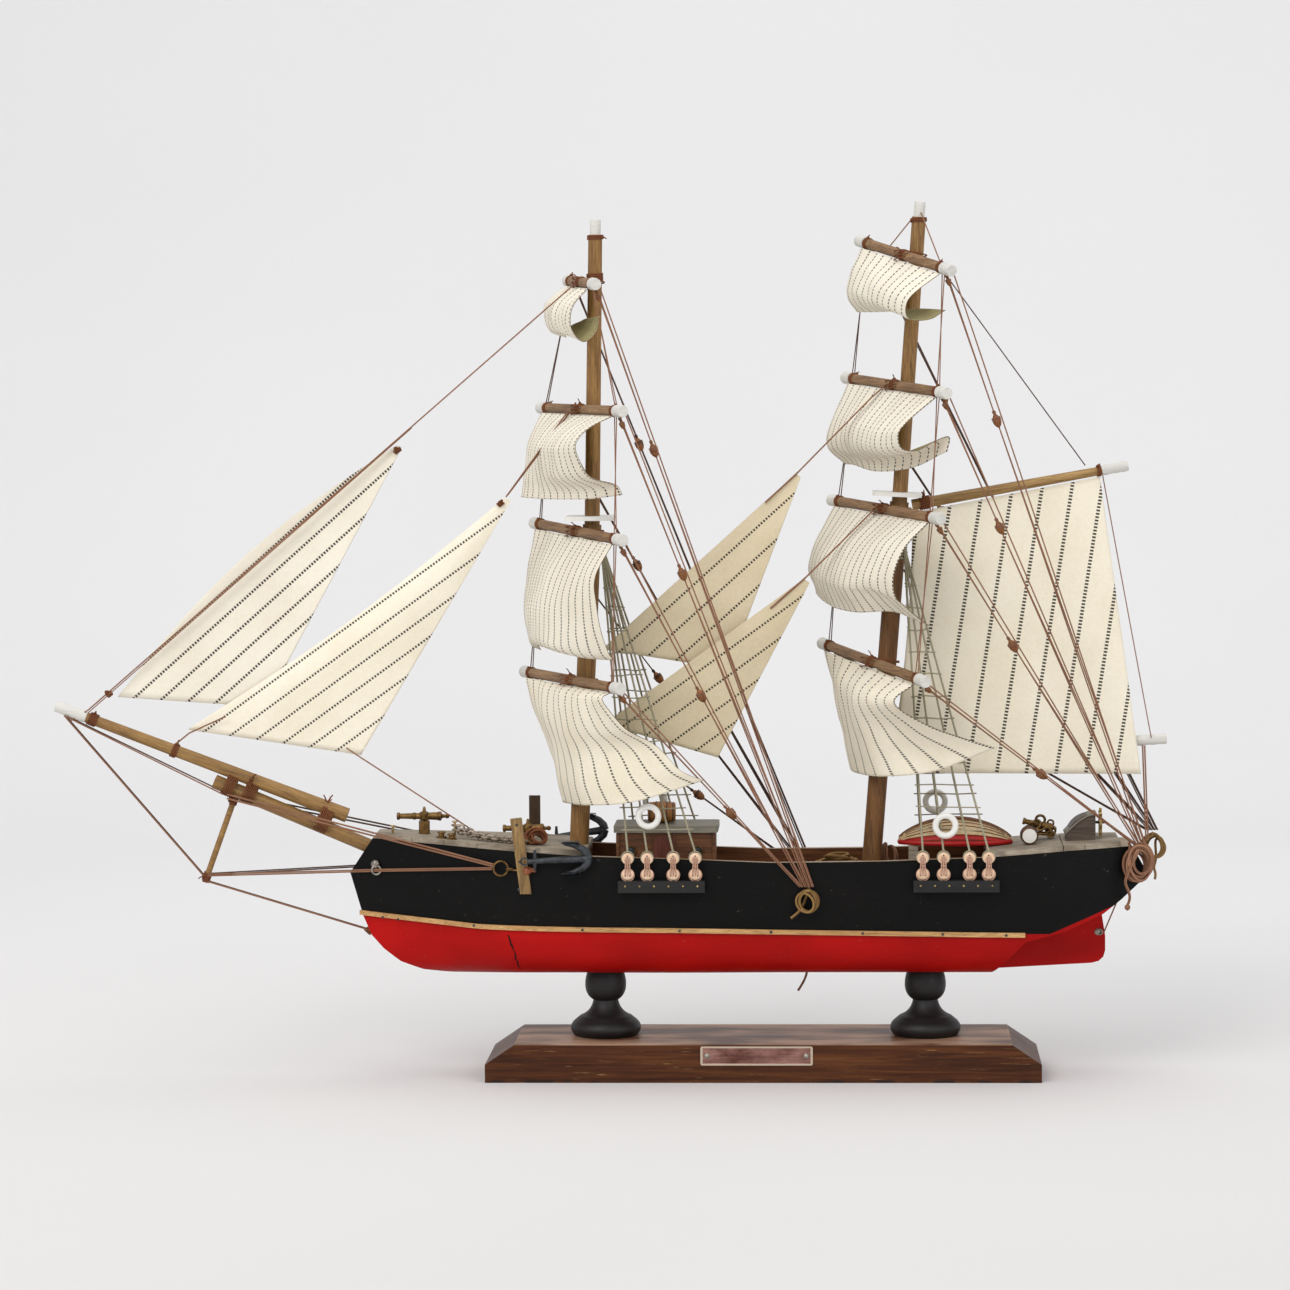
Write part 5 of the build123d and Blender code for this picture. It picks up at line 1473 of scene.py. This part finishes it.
HANK_ROPES = {
    "fore_hank_port": (coil_route((19.4, -31.6, 78.6), (0.15, 1, 0.1), (3.4, 4.3, 3.5, 4.6, 3.7, 4.2), 0.75, 80, 2,
        loose=1.2, lead=((19.8, -29.0, 84.6), (20.4, -30.0, 83.2)), squeeze=1.14,
        tail=((17.0, -30.6, 75.0), (14.4, -31.0, 72.6), (12.6, -30.6, 71.2))), 1.15, "olive_cord", "bare"),
    "fore_hank_starboard": (coil_route((19.4, 31.6, 78.6), (0.1, 1, 0.1), (3.1, 4.0, 4.7, 3.8, 3.0), 0.8, 100, 3,
        lead=((19.8, 29.0, 84.6), (20.4, 30.0, 83.2)), squeeze=1.1,
        tail=((20.0, 33.6, 72.0), (18.6, 32.6, 64.0), (20.2, 31.4, 56.0), (18.0, 30.6, 48.0), (19.0, 30.2, 41.0),
        (17.6, 30.0, 35.6), (14.6, 29.8, 31.2))), 1.05, "brown_cord", "bare"),
    "stern_hank_port": (coil_route((160.6, -20.6, 93.4), (0.42, -1, 0.1), (4.4, 5.2, 4.7, 5.6, 4.5, 5.4, 4.9, 4.4),
        0.8, 60, 4, loose=1.7, lead=((156.4, -17.4, 101.8), (157.4, -17.6, 100.4)), squeeze=1.36,
        tail=((155.0, -24.6, 88.4), (154.4, -24.4, 85.0), (156.2, -23.6, 81.4), (156.8, -23.0, 78.0),
        (155.6, -22.6, 75.4))), 1.2, "brown_cord", "knot"),
    "stern_hank_starboard": (coil_route((168.6, 9.4, 96.6), (0.3, 1, 0), (3.6, 4.4, 3.8, 4.6, 3.7), 0.9, 100, 5,
        loose=1.2, lead=((168.0, 7.0, 103.4), (168.8, 7.0, 102.6)), squeeze=1.2,
        tail=((170.4, 12.4, 91.0), (169.0, 12.0, 87.6), (170.2, 11.6, 84.6), (169.6, 11.4, 82.4))), 1.1,
        "olive_cord", "bare"),
    "foredeck_coil": (coil_route((-96.6, -15.4, 103.4), (0.3, -0.85, 0.4), (3.2, 4.8, 2.6, 4.9, 3.4, 5.0, 2.8), 0.5,
        30, 6, lead=((-104.0, -15.4, 102.0), (-102.6, -14.6, 102.0)), squeeze=0.9, rest=102.0), 1.1, "red_cord",
        "bare"),
    "well_coil_large": (coil_route((33.0, 11.2, 90.6), (0, 0.12, 1), (10.4, 8.2, 6.0, 10.8, 8.6, 6.6, 4.6), 0.92, 20,
        7, rest=86.8), 1.15, "olive_cord", "bare"),
    "well_coil_small": (coil_route((36.5, -12.0, 89.6), (0, 0.1, 1), (3.9, 3.0, 4.3), 1.15, 40, 8, rest=88.0), 1.0,
        "brown_cord", "bare"),
    "mast_coil": (coil_route((54.6, 9.0, 93.6), (1, 0.25, 0), (3.2, 4.2, 5.2, 4.8, 3.8), 0.85, 80, 9), 1.1,
        "brown_cord", "bare"),
}
for name, (route, diameter, look, far_end) in HANK_ROPES.items():
    made = rope(name, route, diameter, look)
    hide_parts("rope_hanks")
    if far_end == "knot":
        knot = Shape()
        knot.lathe(route[-1] + Vector((0, 0, 0.4)), (0, 0, -1),
            ((0, 0.5), (0.5, 1.1), (1.4, 1.3), (2.2, 0.8), (2.6, 0.2)), 14)
        knot.piece("hank_end_knot", "hull", ["brown_cord"])
    declare(made, route, diameter)

# ------------------------------------------------------------ floor and light

# The sheet lies flat to y = BEND, bends up with the same radius and stands as a wall.
FLOOR_SIDE, FLOOR_FRONT, BEND, WALL_TOP = 4000, -4200, 900, 4500
floor = Shape()
rows = []
for x in (-FLOOR_SIDE, FLOOR_SIDE):
    row = [(x, FLOOR_FRONT, 0), (x, BEND, 0)]
    for step in range(1, 13):
        angle = math.radians(90 * step / 12)
        row.append((x, BEND + BEND * math.sin(angle), BEND - BEND * math.cos(angle)))
    row.append((x, 2 * BEND, WALL_TOP))
    rows.append(row)
floor.skin(rows)
sweep = Look("backdrop", 0.9, specular=0.1)
haze = sweep.noise(0.002, 2, 0.5)
# The sheet is one colour; its floor in front is painted darker than the wall behind as painted shade.
wall = sweep.mask(sweep.split()[1], -900.0, 1100.0)
far = sweep.ramp(haze, 0.3, (229, 228, 228), 0.7, (232, 231, 231))
near = sweep.ramp(haze, 0.3, (206, 204, 202), 0.7, (210, 208, 206))
sweep.colour(sweep.mix(wall, near, far))
mesh = bpy.data.meshes.new("studio_floor")
mesh.from_pydata([tuple(vert * MM) for vert in floor.verts], [], floor.faces)
mesh.polygons.foreach_set("use_smooth", [True] * len(floor.faces))
mesh.materials.append(sweep.material)
studio = add_object("studio_floor", mesh)


def area_light(name, place, target, size, power, colour=(1.0, 1.0, 1.0)):
    """A soft square light aimed at a point."""
    lamp = add_object(name, settle(bpy.data.lights.new(name, "AREA"), size=size, energy=power, color=colour))
    lamp.location = place
    lamp.rotation_euler = (Vector(target) - Vector(place)).to_track_quat("-Z", "Y").to_euler()


area_light("Key", (-0.9, -1.9, 1.7), (0, 0, 0.18), 1.3, 24.5, (1.0, 0.985, 0.96))
area_light("Fill", (1.6, -1.6, 0.9), (0, 0, 0.2), 1.5, 10.0, (0.97, 0.985, 1.0))
area_light("Top", (0.2, 0.1, 1.9), (0, 0, 0.1), 1.6, 12.0)
area_light("Bow", (-1.3, -0.8, 0.75), (-0.08, 0, 0.2), 0.9, 2.4)
world = bpy.data.worlds.new("World")
world.use_nodes = True
sky = world.node_tree.nodes["Background"].inputs
sky[0].default_value = (0.95, 0.96, 0.98, 1.0)
sky[1].default_value = 0.68
bpy.context.scene.world = world
